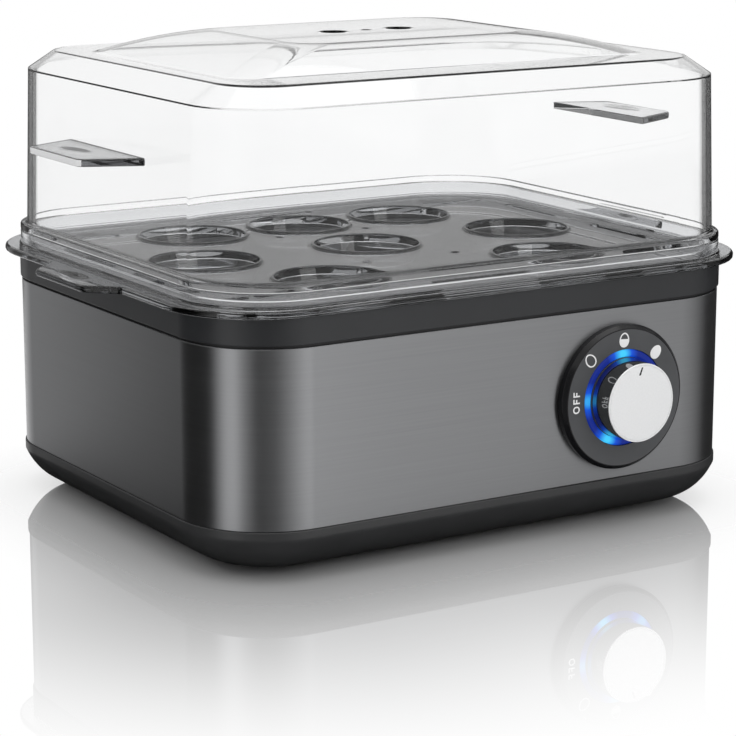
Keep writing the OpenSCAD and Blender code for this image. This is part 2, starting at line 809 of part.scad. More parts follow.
// Control board with its corner holes
module control_board() {
    color("#1f6b45") translate([board_at.x, board_at.y, board_z]) linear_extrude(board_t) difference() {
        square(board, center = true);
        at_corners(board_holes) circle(d = board_screw_d + 4 * fit);
    }
}

// Screws that hold the control board to its posts
module board_screws() {
    shank = 2 * board_screw_d;
    color("#9a9da0") translate([board_at.x, board_at.y, board_z]) at_corners(board_holes) {
        translate([0, 0, board_t]) cylinder(d = 2.25 * board_screw_d, h = 0.8 * board_screw_d);
        translate([0, 0, -shank]) cylinder(d = board_screw_d, h = shank + board_t + slab);
    }
}

// Relay that switches the heater
module relay() {
    color("#2a5fae") on_board([-0.3, 0.14]) linear_extrude(relay_size.z)
        square([relay_size.x, relay_size.y], center = true);
}

// Sounder with its sound hole
module buzzer() {
    color("#17181a") on_board([0.31, 0.2]) difference() {
        cylinder(d = buzzer_size[0], h = buzzer_size[1]);
        translate([0, 0, 0.7 * buzzer_size[1]]) cylinder(d = buzzer_size[0] / 6, h = buzzer_size[1]);
    }
}

// Two smoothing capacitors
module capacitors() {
    color("#2c2f55") for (x = [-0.04, 0.085]) on_board([x, -0.24])
        cylinder(d = capacitor_size[0], h = capacitor_size[1]);
}

// Mains terminal block on the floor, with its screw wells
module terminal_block() {
    ways = 3;
    well_d = 0.45 * terminal_size.x;
    at = board_at + [-board.x / 8, (board.y + terminal_size.y) / 2 + board_edge / 2];
    color("#e6e2d6") translate([at.x, at.y, floor_z]) difference() {
        translate([-ways * terminal_size.x / 2, -terminal_size.y / 2, 0])
            cube([ways * terminal_size.x, terminal_size.y, terminal_size.z]);
        for (i = [0:ways - 1], s = [-1, 1])
            translate([(i - (ways - 1) / 2) * terminal_size.x, s * terminal_size.y / 4, 0.65 * terminal_size.z])
                cylinder(d = well_d, h = terminal_size.z);
    }
}

// Cord gland: flange outside the band and a sleeve with the cord's bore
module cord_gland() {
    r = gland_d / 2 + gland_flange[0];
    color("#1e1f21") at_gland() difference() {
        union() {
            rotate_extrude() polygon([
                [0, 0], [r, 0], [r, gland_flange[1] / 2], [r - 0.6 * gland_flange[0], gland_flange[1]],
                [0, gland_flange[1]]
            ]);
            translate([0, 0, -gland_l]) cylinder(d = gland_d, h = gland_l + over);
        }
        translate([0, 0, -gland_l - over]) cylinder(d = gland_bore, h = 2 * gland_l);
    }
}

// Nut of the cord gland, inside the band
module gland_nut() {
    color("#1e1f21") at_gland() translate([0, 0, -band_t - gland_nut_t]) difference() {
        cylinder(r = (gland_d + 2 * gland_flange[0]) / sqrt(3), h = gland_nut_t, $fn = 6);
        translate([0, 0, -over]) cylinder(d = gland_d + fit, h = gland_nut_t + 2 * over);
    }
}

// One egg seat: a cone with an open bottom and a raised lip
module egg_seat() {
    rotate_extrude() polygon([
        [seat_d / 2, -seat_depth], [seat_d / 2 + seat_t, -seat_depth],
        [seat_top_d / 2 + seat_t, -plate_t], [seat_top_d / 2 + seat_t, 0],
        [seat_top_d / 2 + seat_t - seat_lip / 2, seat_lip], [seat_top_d / 2, seat_lip], [seat_top_d / 2, 0]
    ]);
}

// Steam slots and drain holes in the deck
module deck_holes() {
    side_x = body_w / 2 - rim_land - slip - rib_t - slot_w;
    corner_y = pan_d / 2 - 2 * slot_w;
    corner_x = seat_x + slot_w / 4 + corner_slots[0] / 2;
    corner_step = (corner_slots[0] + corner_slots[1] + 1.25 * slot_w) / 2;
    for (s = CORNERS) {
        translate([s.x * side_x, s.y * (slot_l / 2 + 2 * slot_w)]) rotate(90) slot_outline(slot_l, slot_w);
        for (i = [0, 1]) translate([s.x * (corner_x + i * corner_step), s.y * corner_y])
            slot_outline(corner_slots[i], slot_w);
        translate([s.x * (seat_pitch / 2 - slot_w), s.y * (seat_y - seat_top_d / 2)]) circle(d = drain_d);
    }
    for (s = [-1, 1]) translate([0, s * (pan_d + slot_w) / 2]) slot_outline(slot_l, slot_w);
}

// Smoky clear tray: flange with lifting tabs, wall for the lid, locating rib, seats and slots
module egg_tray() {
    flange_w = body_w + 2 * flange_side;
    flange_d = body_d + 2 * flange_front;
    rib_in = rim_land + slip;
    tab_x = flange_w / 2 + tab_out;
    color("#6d7075", 0.6) {
        difference() {
            union() {
                translate([0, 0, rim_top]) linear_extrude(plate_t) {
                    rounded_rect(flange_w, flange_d, flange_r);
                    for (a = [0, 180]) rotate(a) grip_outline(flange_w / 2 - over, tab_x, tab_root, tab_tip);
                }
                plan_ring(deck_z - slab, tray_wall_h + slab, 0, tray_wall_t);
                plan_ring(rim_top - rib_h, rib_h + slab, rib_in, rib_in + rib_t);
            }
            for (p = SEATS) translate([p.x, p.y, rim_top - over])
                cylinder(d = seat_top_d + seat_t, h = plate_t + 2 * over);
            translate([0, 0, rim_top - over]) linear_extrude(plate_t + 2 * over) deck_holes();
            for (a = [0, 180]) rotate(a) translate([tab_x - 0.6 * tab_out, 0, deck_z])
                finger_dish(tab_tip * 0.6, tab_out * 0.7);
        }
        for (p = SEATS) translate([p.x, p.y, deck_z]) egg_seat();
    }
}

// Points of a rounded rectangle at a height, corner by corner
function rect_points(w, d, r, z, steps = 6) = [
    for (i = [0:3], k = [0:steps])
        let (s = CORNERS[(i + 2) % 4], a = 90 * (i + k / steps))
        [s.x * (w / 2 - r) + r * cos(a), s.y * (d / 2 - r) + r * sin(a), z]
];

// Closed solid through a stack of outlines with equal counts of points
module loft(sections) {
    count = len(sections[0]);
    last = count * (len(sections) - 1);
    sides = [
        for (row = [0:len(sections) - 2], i = [0:count - 1])
            let (a = row * count + i, b = row * count + (i + 1) % count)
            each [[a, a + count, b], [b, a + count, b + count]]
    ];
    caps = [for (i = [1:count - 2]) each [[0, i, i + 1], [last, last + i + 1, last + i]]];
    polyhedron([for (section = sections) each section], concat(sides, caps));
}

// Solid form of the crown, standing on the shoulder and sunk into it by a depth
module crown_form(sunk) {
    rows = 4;
    span = crown_top - crown_foot;
    loft(concat(
        [rect_points(crown_foot.x, crown_foot.y, crown_foot_r, -sunk)],
        [for (i = [0:rows])
            let (s = i / rows, size = crown_foot + span * s)
            let (r = crown_foot_r + (crown_top_r - crown_foot_r) * s)
            rect_points(size.x, size.y, r, crown_h * s + 4 * crown_swell * s * (1 - s))]
    ));
}

// Clear hood: rim, leaning wall, chamfered shoulder, crown with vents, and two handle plates
module lid() {
    turn = atan2(shoulder_run, shoulder_h);
    wall_turn = lid_t * tan(turn / 2);
    shelf_turn = lid_t * tan((90 - turn) / 2);
    wall_top = -lid_in - lid_draft;
    lip_z = lid_z - lid_lip_h;
    handle_in = lid_in + lid_draft * handle_up / lid_wall_h + lid_t / 2;
    handle_x = body_w / 2 + handle_out;
    color("#dfe4e8", 0.3) difference() {
        union() {
            carried_round(body_w, body_d, corner_r) polygon([
                [-lid_in, lip_z], [-lid_in, lid_z], [0, lid_z], [0, lid_rim_top], [-lid_in, lid_rim_top],
                [wall_top, shoulder_z], [-shoulder_in, lid_top], [-shoulder_in - shelf_turn, lid_top],
                [-shoulder_in - shelf_turn, lid_top - lid_t], [wall_top - lid_t, shoulder_z - wall_turn],
                [-lid_in - lid_t, lid_rim_top], [-lid_in - lid_t, lip_z]
            ]);
            translate([0, 0, lid_top - lid_t]) linear_extrude(lid_t) plan(shoulder_in + shelf_turn / 2);
            translate([0, 0, lid_top]) crown_form(lid_t / 2);
            translate([0, 0, handle_z]) linear_extrude(handle_t) for (a = [0, 180]) rotate(a)
                grip_outline(body_w / 2 - handle_in, handle_x, handle_root, handle_tip);
        }
        translate([0, 0, lid_top - lid_t]) crown_form(lid_t);
        for (s = [-1, 1]) translate([s * vent_pitch / 2, 0, lid_top - over])
            cylinder(d = vent_d, h = crown_h + 2 * over);
        for (a = [0, 180]) rotate(a)
            translate([handle_x - handle_out / 2, 0, handle_z + handle_t])
                finger_dish(handle_tip * 0.7, handle_out * 0.6);
    }
}

// Moves the object so that the middle of its box, from knob to flange, lies over the origin
module placed() {
    translate([0, (knob_out - flange_front) / 2, 0]) children();
}

placed() base_shell();
placed() rubber_feet();
placed() body_screws();
placed() steel_band();
placed() upper_rim();
placed() boil_pan();
placed() pan_seal();
placed() heat_plate();
placed() heating_element();
placed() heater_clamp();
placed() clamp_nut();
placed() thermostat();
placed() thermal_fuse();
placed() heat_shield();
placed() dial_plate();
placed() dial_retainer();
placed() light_ring();
placed() led_board();
placed() rotary_control();
placed() control_nut();
placed() control_board();
placed() board_screws();
placed() relay();
placed() buzzer();
placed() capacitors();
placed() terminal_block();
placed() cord_gland();
placed() gland_nut();
placed() control_shaft();
placed() knob();
placed() knob_cap();
placed() knob_clip();
placed() egg_tray();
placed() lid();
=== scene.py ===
"""Looks of an electric egg cooker: brushed band, dark rim and base, lit dial, smoky tray and clear hood."""

from math import atan2, cos, pi, radians, sin

import bmesh
import bpy
from mathutils import Matrix, Vector


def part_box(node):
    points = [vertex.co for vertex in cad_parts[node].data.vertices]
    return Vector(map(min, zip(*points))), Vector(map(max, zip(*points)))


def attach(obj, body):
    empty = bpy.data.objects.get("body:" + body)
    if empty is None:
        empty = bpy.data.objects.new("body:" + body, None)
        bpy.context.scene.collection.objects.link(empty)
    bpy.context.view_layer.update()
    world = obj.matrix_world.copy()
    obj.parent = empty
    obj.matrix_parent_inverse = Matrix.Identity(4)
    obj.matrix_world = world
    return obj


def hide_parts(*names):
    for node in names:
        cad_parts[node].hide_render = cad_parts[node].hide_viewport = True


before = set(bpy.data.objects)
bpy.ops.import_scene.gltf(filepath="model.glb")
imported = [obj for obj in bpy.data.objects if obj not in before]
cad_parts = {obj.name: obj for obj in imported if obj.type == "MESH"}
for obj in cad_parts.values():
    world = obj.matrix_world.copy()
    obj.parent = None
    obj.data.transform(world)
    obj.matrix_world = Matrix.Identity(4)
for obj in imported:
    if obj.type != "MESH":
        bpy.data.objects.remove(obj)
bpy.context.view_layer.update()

# Sizes in millimetres, about the middle of the body, with z up from the countertop
MM = 0.001
MERGE = 1e-5
band_low, band_high = (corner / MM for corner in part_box("steel_band"))
plate_low, plate_high = (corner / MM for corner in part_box("dial_plate"))
gland_low, gland_high = (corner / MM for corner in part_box("cord_gland"))
knob_low, knob_high = (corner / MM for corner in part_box("knob"))
BODY_W = band_high.x - band_low.x
BODY_D = band_high.y - band_low.y
MID_Y = (band_high.y + band_low.y) / 2
BAND_Z, BAND_TOP = band_low.z, band_high.z
BASE_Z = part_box("base_shell")[0].z / MM
RIM_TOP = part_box("upper_rim")[1].z / MM
TRAY_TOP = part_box("egg_tray")[1].z / MM
LID_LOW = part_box("lid")[0].z / MM
LID_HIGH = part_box("lid")[1].z / MM
CORNER_R = 33.0
BAND_T = 0.8
LIP = 0.5
BAND_IN = 1.0
SPIGOT_IN = 3.2
SPIGOT_H = 6.0
SEAT_GAP = 0.04

MIDDLE = Matrix.Scale(MM, 4) @ Matrix.Translation((0, MID_Y, 0))
DIAL_X = (plate_low.x + plate_high.x) / 2
DIAL_Z = (plate_low.z + plate_high.z) / 2
DIAL = MIDDLE @ Matrix.Translation((DIAL_X, -BODY_D / 2, DIAL_Z)) @ Matrix.Rotation(pi / 2, 4, "X")
GLAND_X = (gland_low.x + gland_high.x) / 2
GLAND_Z = (gland_low.z + gland_high.z) / 2
GLAND = MIDDLE @ Matrix.Translation((GLAND_X, BODY_D / 2, GLAND_Z)) @ Matrix.Rotation(-pi / 2, 4, "X")

SIGNS = [(-1, -1), (1, -1), (1, 1), (-1, 1)]


# Outlines

def contour(corners, grow=0.0, steps=8, closed=True):
    """Points of an outline through corners (x, y, radius), grown to its right-hand side."""
    points = []
    count = len(corners)
    for i, (_, _, r) in enumerate(corners):
        before, here, after = (Vector(corners[k % count][:2]) for k in (i - 1, i, i + 1))
        if not closed and i in (0, count - 1):
            points.append(here)
            continue
        u = (here - before).normalized()
        v = (after - here).normalized()
        a = Vector((u.y, -u.x))
        b = Vector((v.y, -v.x))
        turn = atan2(u.x * v.y - u.y * v.x, u.dot(v))
        side = 1 if turn > 0 else -1
        centre = here - (a + b) * (side * r / (1 + a.dot(b)))
        for k in range(steps + 1):
            way = Matrix.Rotation(turn * k / steps, 2) @ a
            point = centre + way * (side * r + grow)
            if not points or (point - points[-1]).length > MERGE:
                points.append(point)
    if (points[0] - points[-1]).length < MERGE:
        points.pop()
    return points


def path(*corners, steps=5):
    """Points of an open line through corners (x, y, radius)."""
    return contour(corners, 0.0, steps, False)


def rect(w, d, r, x=0.0, y=0.0):
    """Corners of a rectangle with round corners, counter-clockwise."""
    left, right = x - w / 2, x + w / 2
    front, back = y - d / 2, y + d / 2
    return [(right, front, r), (right, back, r), (left, back, r), (left, front, r)]


def circle(r, z, count=96, x=0.0, y=0.0, squeeze=1.0):
    """Points of a circle, or of an oval squeezed along x, at a height."""
    turns = [2 * pi * k / count for k in range(count)]
    return [(x + r * squeeze * cos(t), y + r * sin(t), z) for t in turns]


def lifted(points, z):
    """The points at one height."""
    return [(p[0], p[1], z) for p in points]


BODY = rect(BODY_W, BODY_D, CORNER_R)
BODY_STEPS = 18


class Shell:
    """A mesh made of loops of points, given in millimetres in a frame of its own."""

    def __init__(self, place=MIDDLE):
        self.mesh = bmesh.new()
        self.place = place
        self.paint = 0

    def loop(self, points):
        return [self.mesh.verts.new(self.place @ Vector(p)) for p in points]

    def face(self, verts):
        self.mesh.faces.new(verts).material_index = self.paint

    def strips(self, loops, closed=False):
        """Quads between neighbouring loops with equal counts of points."""
        following = loops[1:] + loops[:1] if closed else loops[1:]
        for a, b in zip(loops, following):
            for i in range(len(a)):
                j = (i + 1) % len(a)
                self.face((a[i], a[j], b[j], b[i]))
        return loops

    def fill(self, *loops):
        """Flat region between an outer loop and the loops inside it."""
        edges = []
        for loop in loops:
            for a, b in zip(loop, loop[1:] + loop[:1]):
                edges.append(self.mesh.edges.get((a, b)) or self.mesh.edges.new((a, b)))
        made = bmesh.ops.triangle_fill(self.mesh, use_beauty=True, use_dissolve=False, edges=edges)
        for item in made["geom"]:
            if isinstance(item, bmesh.types.BMFace):
                item.material_index = self.paint

    def fan(self, loop, tip):
        """Triangles from a loop to one point."""
        top = self.mesh.verts.new(self.place @ Vector(tip))
        for a, b in zip(loop, loop[1:] + loop[:1]):
            self.face((a, b, top))

    def around(self, corners, profile, steps=BODY_STEPS):
        """One loop round the corners for each (out, z) of a profile."""
        return [self.loop(lifted(contour(corners, out, steps), z)) for out, z in profile]

    def turned(self, profile, count=96, closed=False, x=0.0, y=0.0):
        """Strips round the local z axis through (radius, z) points; a closed profile joins its ends."""
        loops = [self.loop(circle(r, z, count, x, y)) for r, z in profile]
        self.strips(loops, closed)
        return loops

    def object(self, name):
        mesh = bpy.data.meshes.new(name)
        bmesh.ops.remove_doubles(self.mesh, verts=self.mesh.verts, dist=MERGE * MM)
        bmesh.ops.recalc_face_normals(self.mesh, faces=self.mesh.faces)
        self.mesh.to_mesh(mesh)
        self.mesh.free()
        item = bpy.data.objects.new(name, mesh)
        bpy.context.scene.collection.objects.link(item)
        return item


def combine(item, tool, operation):
    """Joins a closed tool to a closed item, or cuts it out."""
    change = item.modifiers.new("change", "BOOLEAN")
    change.operation = operation
    change.solver = "EXACT"
    change.object = tool
    view = bpy.context.evaluated_depsgraph_get()
    mesh = bpy.data.meshes.new_from_object(item.evaluated_get(view))
    item.modifiers.clear()
    item.data = mesh
    bpy.data.objects.remove(tool)
    return item


def dress(item, body, slot, materials, *nodes, sharp=38):
    """Shades a piece, gives it its materials, ties it to its body and hides the nodes it stands for."""
    mesh = bmesh.new()
    mesh.from_mesh(item.data)
    bmesh.ops.remove_doubles(mesh, verts=mesh.verts, dist=MERGE * MM)
    bmesh.ops.dissolve_degenerate(mesh, edges=mesh.edges, dist=MERGE * MM)
    bmesh.ops.recalc_face_normals(mesh, faces=mesh.faces)
    for face in mesh.faces:
        face.smooth = True
    for edge in mesh.edges:
        edge.smooth = edge.calc_face_angle(0) < radians(sharp)
    mesh.to_mesh(item.data)
    mesh.free()
    for material in materials:
        item.data.materials.append(material)
    item.modifiers.new("normals", "WEIGHTED_NORMAL").keep_sharp = True
    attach(item, body)
    if nodes:
        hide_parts(*nodes)
    return item


# Shader nodes

NOISE_ROUGHNESS = 0.55


def add(tree, kind, inputs=None, **settings):
    """New node with its settings, and its inputs set or linked."""
    item = tree.nodes.new(kind)
    for key, value in settings.items():
        setattr(item, key, value)
    for key, value in (inputs or {}).items():
        if isinstance(value, bpy.types.NodeSocket):
            tree.links.new(value, item.inputs[key])
        else:
            item.inputs[key].default_value = value
    return item


def calc(tree, operation, *values):
    return add(tree, "ShaderNodeMath", dict(enumerate(values)), operation=operation).outputs[0]


def calc_vector(tree, operation, *values, result=0):
    return add(tree, "ShaderNodeVectorMath", dict(enumerate(values)), operation=operation).outputs[result]


def own_place(tree):
    return add(tree, "ShaderNodeTexCoord").outputs["Object"]


def noise(tree, scale, detail=3.0, stretch=(1, 1, 1)):
    """Grey noise in the piece's own coordinates; scale is in cells per metre."""
    laid = add(tree, "ShaderNodeMapping", {"Vector": own_place(tree), "Scale": stretch}).outputs["Vector"]
    inputs = {"Vector": laid, "Scale": scale, "Detail": detail, "Roughness": NOISE_ROUGHNESS}
    return add(tree, "ShaderNodeTexNoise", inputs).outputs["Fac"]


def ranged(tree, value, low, high, start=0.3, end=0.7, kind="LINEAR"):
    """Low where the value is at start, high where it is at end."""
    inputs = {"Value": value, "From Min": start, "From Max": end, "To Min": low, "To Max": high}
    return add(tree, "ShaderNodeMapRange", inputs, interpolation_type=kind).outputs["Result"]


def colour_of(node):
    return next(socket for socket in node.outputs if socket.type == "RGBA")


def mixed(tree, value, first, second):
    """First colour where the value is low and second where it is high."""
    blend = add(tree, "ShaderNodeMix", {"Factor": ranged(tree, value, 0, 1)}, data_type="RGBA")
    blend.inputs["A"].default_value = (*first, 1)
    blend.inputs["B"].default_value = (*second, 1)
    return colour_of(blend)


def bumped(tree, shader, height, depth):
    bump = add(tree, "ShaderNodeBump", {"Height": height, "Distance": depth, "Strength": 1.0})
    tree.links.new(bump.outputs["Normal"], shader.inputs["Normal"])


# Materials, with lengths in metres and noise in cells per metre

# Painted edge shade on clear plastic: the facing range over which the colour darkens, the range of upright
# normals it keeps to, and its blend past each side's flat
EDGE_SHADE_FACING = (0.54, 0.66)
EDGE_SHADE_UPRIGHT = (0.7, 0.86)
EDGE_SHADE_BLEND = 0.002
CLEAR_CLOUDS = 35.0
CLEAR_WAVES = 90.0
WAVE_DEPTH = 0.0000015
SMOKE = (0.0, 0.02, 0.05, 1)


def surface(name, **sockets):
    """New material with its shader's plain values set."""
    material = bpy.data.materials.new(name)
    material.use_nodes = True
    shader = material.node_tree.nodes["Principled BSDF"]
    for key, value in sockets.items():
        socket = shader.inputs[key.replace("_", " ")]
        socket.default_value = (*value, 1) if isinstance(value, tuple) and len(value) == 3 else value
    return material, material.node_tree, shader


def tint(rgb, factor):
    return tuple(min(1.0, channel * factor) for channel in rgb)


def moulded(name, rgb, rough, grain=900.0, depth=0.000012, spread=0.18, cloud=60.0, **sockets):
    """Solid-coloured plastic, rubber, ceramic or paint with a fine grain."""
    material, tree, shader = surface(name, **sockets)
    clouds = noise(tree, cloud, 4)
    fine = noise(tree, grain, 2)
    colour = mixed(tree, clouds, tint(rgb, 1 - spread / 2), tint(rgb, 1 + spread / 2))
    tree.links.new(colour, shader.inputs["Base Color"])
    tree.links.new(ranged(tree, clouds, rough * 0.9, rough * 1.12), shader.inputs["Roughness"])
    bumped(tree, shader, fine, depth)
    return material


def metal(
    name, rgb, rough, stretch=(1, 1, 1), scale=700.0, spread=0.12, wander=0.15, depth=0.000004, **sockets,
):
    """Bare or plated metal with the marks of rolling, turning or brushing."""
    material, tree, shader = surface(name, **{"Metallic": 1.0, **sockets})
    marks = noise(tree, scale, 4, stretch)
    colour = mixed(tree, marks, tint(rgb, 1 - spread / 2), tint(rgb, 1 + spread / 2))
    tree.links.new(colour, shader.inputs["Base Color"])
    roughness = ranged(tree, marks, rough * (1 - wander), rough * (1 + wander))
    tree.links.new(roughness, shader.inputs["Roughness"])
    bumped(tree, shader, marks, depth)
    return material


def edge_shade_limits(tree):
    """Masks of the painted edge shade: one on upright faces and past the flat of each side, and zero
    elsewhere.
    """
    normal = add(tree, "ShaderNodeNewGeometry").outputs["Normal"]
    upward = calc(tree, "ABSOLUTE", add(tree, "ShaderNodeSeparateXYZ", {0: normal}).outputs["Z"])
    away = calc_vector(tree, "SUBTRACT", own_place(tree), (0, MID_Y * MM, 0))
    away = add(tree, "ShaderNodeSeparateXYZ", {0: calc_vector(tree, "ABSOLUTE", away)}).outputs
    limits = [ranged(tree, upward, 1.0, 0.0, *EDGE_SHADE_UPRIGHT)]
    for axis, size in (("X", BODY_W), ("Y", BODY_D)):
        flat = (size / 2 - CORNER_R) * MM
        limits.append(ranged(tree, away[axis], 0.0, 1.0, flat - EDGE_SHADE_BLEND, flat + EDGE_SHADE_BLEND))
    return limits


def clear(name, rgb, rough, ior, density, edge=1.0, through=1.0):
    """See-through moulded plastic: thick ways through it are darker; round corners seen edge-on get painted
    shade, their colour darkened to the edge tint.
    """
    material, tree, shader = surface(name, Transmission_Weight=through, IOR=ior)
    clouds = noise(tree, CLEAR_CLOUDS, 2)
    tone = mixed(tree, clouds, rgb, tint(rgb, 0.99))
    # Painted shade: the base colour turns to the edge tint where an upright round corner is seen edge-on,
    # standing in for the dark lines of its refracted edges
    facing = add(tree, "ShaderNodeLayerWeight", {"Blend": 0.5}).outputs["Facing"]
    share = ranged(tree, facing, 0.0, 1.0, *EDGE_SHADE_FACING)
    for limit in edge_shade_limits(tree):
        share = calc(tree, "MULTIPLY", share, limit)
    blend = add(tree, "ShaderNodeMix", {"Factor": share}, data_type="RGBA")
    tree.links.new(tone, blend.inputs["A"])
    blend.inputs["B"].default_value = (*tint(rgb, edge), 1)
    tree.links.new(colour_of(blend), shader.inputs["Base Color"])
    tree.links.new(ranged(tree, clouds, rough * 0.7, rough * 1.3), shader.inputs["Roughness"])
    bumped(tree, shader, noise(tree, CLEAR_WAVES, 1), WAVE_DEPTH)
    smoke = add(tree, "ShaderNodeVolumeAbsorption", {"Color": SMOKE, "Density": density})
    tree.links.new(smoke.outputs["Volume"], tree.nodes["Material Output"].inputs["Volume"])
    return material


BRUSHED = (14, 14, 1500)
HOUSING = moulded("housing_black", (0.029, 0.0295, 0.0305), 0.38)
RIM_PLASTIC = moulded("rim_charcoal", (0.019, 0.020, 0.022), 0.36)
RUBBER = moulded("foot_rubber", (0.018, 0.018, 0.018), 0.75, depth=0.00003)
SILICONE = moulded("seal_silicone", (0.55, 0.53, 0.49), 0.5)
BAND_STEEL = metal(
    "brushed_band", (0.33, 0.333, 0.342), 0.34, BRUSHED, 1.0, spread=0.07, wander=0.1, depth=0.0000012,
    Anisotropic=0.85, Anisotropic_Rotation=0.25,
)
PAN_COAT = moulded("pan_coat", (0.045, 0.045, 0.047), 0.42, grain=1600, depth=0.00002, cloud=120)
# After the smoke density comes the edge tint of the painted edge shade
CLEAR = clear("clear_plastic", (0.992, 0.994, 0.995), 0.012, 1.24, 3.5, 0.02)
GRIP = clear("grip_plastic", (0.95, 0.953, 0.96), 0.03, 1.3, 14.0, through=0.95)
# Lit and shaded copies of the grip plastic: paler, mostly diffuse tips as painted light, darker flanks as
# painted shade
LIT_GRIP_TIP = clear("grip_tip_painted_light", (0.97, 0.972, 0.975), 0.3, 1.3, 14.0, through=0.25)
SHADED_GRIP_FLANK = clear("grip_flank_painted_shade", (0.42, 0.423, 0.43), 0.06, 1.3, 14.0, through=0.95)
SMOKY = clear("smoky_plastic", (0.84, 0.846, 0.858), 0.03, 1.47, 22.0, 0.8)
DIAL_GLOSS = moulded("dial_gloss_black", (0.006, 0.006, 0.007), 0.2, depth=0.000004, Specular_IOR_Level=0.35)
DIAL_FACE = moulded("dial_face_grey", (0.058, 0.060, 0.064), 0.42, grain=2600, depth=0.00001)
PRINT = moulded("dial_print_white", (0.80, 0.80, 0.80), 0.5, grain=3000, spread=0.06)
POLISHED = metal("polished_skirt", (0.36, 0.365, 0.375), 0.07, (1, 1, 1), 900.0, spread=0.04)
SATIN = metal("satin_cap", (0.90, 0.905, 0.91), 0.33, (1500, 60, 1500), 1.0, spread=0.05, Metallic=0.5)
NOTCH_AND_GROOVE_SHADE = moulded("notch_black_and_groove_shade", (0.012, 0.012, 0.013), 0.45)
GLAND_BLACK = moulded("gland_black", (0.02, 0.02, 0.021), 0.5, depth=0.00002)

INNER = {
    "body_screws": metal("zinc_steel", (0.55, 0.56, 0.57), 0.38),
    "heat_plate": metal("cast_aluminium", (0.58, 0.59, 0.60), 0.5, scale=1500.0, depth=0.00002),
    "heating_element": metal("tube_steel", (0.20, 0.19, 0.18), 0.55, depth=0.00001),
    "heat_shield": metal("shield_sheet", (0.62, 0.63, 0.64), 0.36, (20, 600, 600), 1.0),
    "thermostat": moulded("black_moulding", (0.025, 0.025, 0.027), 0.5),
    "thermal_fuse": moulded("ceramic", (0.68, 0.64, 0.56), 0.6, depth=0.00003),
    "control_board": moulded("circuit_board", (0.02, 0.14, 0.07), 0.4, cloud=500.0, spread=0.5),
    "rotary_control": metal("control_case", (0.14, 0.20, 0.28), 0.4),
    "relay": moulded("relay_blue", (0.03, 0.12, 0.42), 0.4),
    "capacitors": moulded("capacitor_sleeve", (0.03, 0.035, 0.09), 0.35),
    "terminal_block": moulded("terminal_nylon", (0.74, 0.71, 0.63), 0.5),
    "control_shaft": metal("turned_metal", (0.66, 0.67, 0.68), 0.3, (60, 1800, 60), 1.0),
    "pan_seal": SILICONE,
    "rubber_feet": RUBBER,
    "gland_nut": GLAND_BLACK,
}
SAME_FINISH = {
    "heater_clamp": "heat_shield", "clamp_nut": "body_screws", "dial_retainer": "body_screws",
    "led_board": "control_board", "control_nut": "body_screws", "board_screws": "body_screws",
    "buzzer": "thermostat", "knob_clip": "control_shaft",
}
for name, twin in SAME_FINISH.items():
    INNER[name] = INNER[twin]
for name, material in INNER.items():
    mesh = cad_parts[name].data
    mesh.materials.clear()
    mesh.materials.append(material)

SPOT_REACH = (0.001, 0.0068)
SPOT_COLOURS = ((0.005, 0.018, 0.22, 1), (0.006, 0.08, 0.65, 1), (0.06, 0.62, 1.0, 1))


def lit(name, spots):
    """Deep blue light guide with a paler spot over each lamp, given with its strength."""
    material, tree, shader = surface(
        name, Roughness=0.3, Emission_Strength=1.0, Base_Color=(0.002, 0.006, 0.03), Specular_IOR_Level=0.2,
    )
    where = own_place(tree)
    total = None
    for spot, strength in spots:
        apart = calc_vector(tree, "DISTANCE", where, tuple(spot), result="Value")
        glow = ranged(tree, apart, strength, 0.0, *SPOT_REACH)
        total = glow if total is None else calc(tree, "MAXIMUM", total, glow)
    ramp = add(tree, "ShaderNodeValToRGB", {"Fac": total})
    levels = ramp.color_ramp.elements
    low, middle, high = SPOT_COLOURS
    levels[0].color = low
    levels[1].color = high
    levels.new(0.5).color = middle
    tree.links.new(ramp.outputs["Color"], shader.inputs["Emission Color"])
    return material


# Base: tucked-under skirt with its spigot, slotted floor, screw wells, foot holes and board posts

FLOOR_T = 2.2
SKIRT_T = 1.8
SKIRT_TUCK = 12.1
SKIRT_DROP = 3.3
SKIRT_STEPS = 16
SCREW_IN = 22
FOOT_IN = 36
WELL_TOP = 50
POST_TOP, POST_FLOOR = 14.2, 6.2
BOARD_MIDDLE = (-34, 8)
POST_REACH = (43, 24)


def bezier(a, b, c, t):
    return tuple(p * (1 - t) ** 2 + 2 * q * t * (1 - t) + r * t * t for p, q, r in zip(a, b, c))


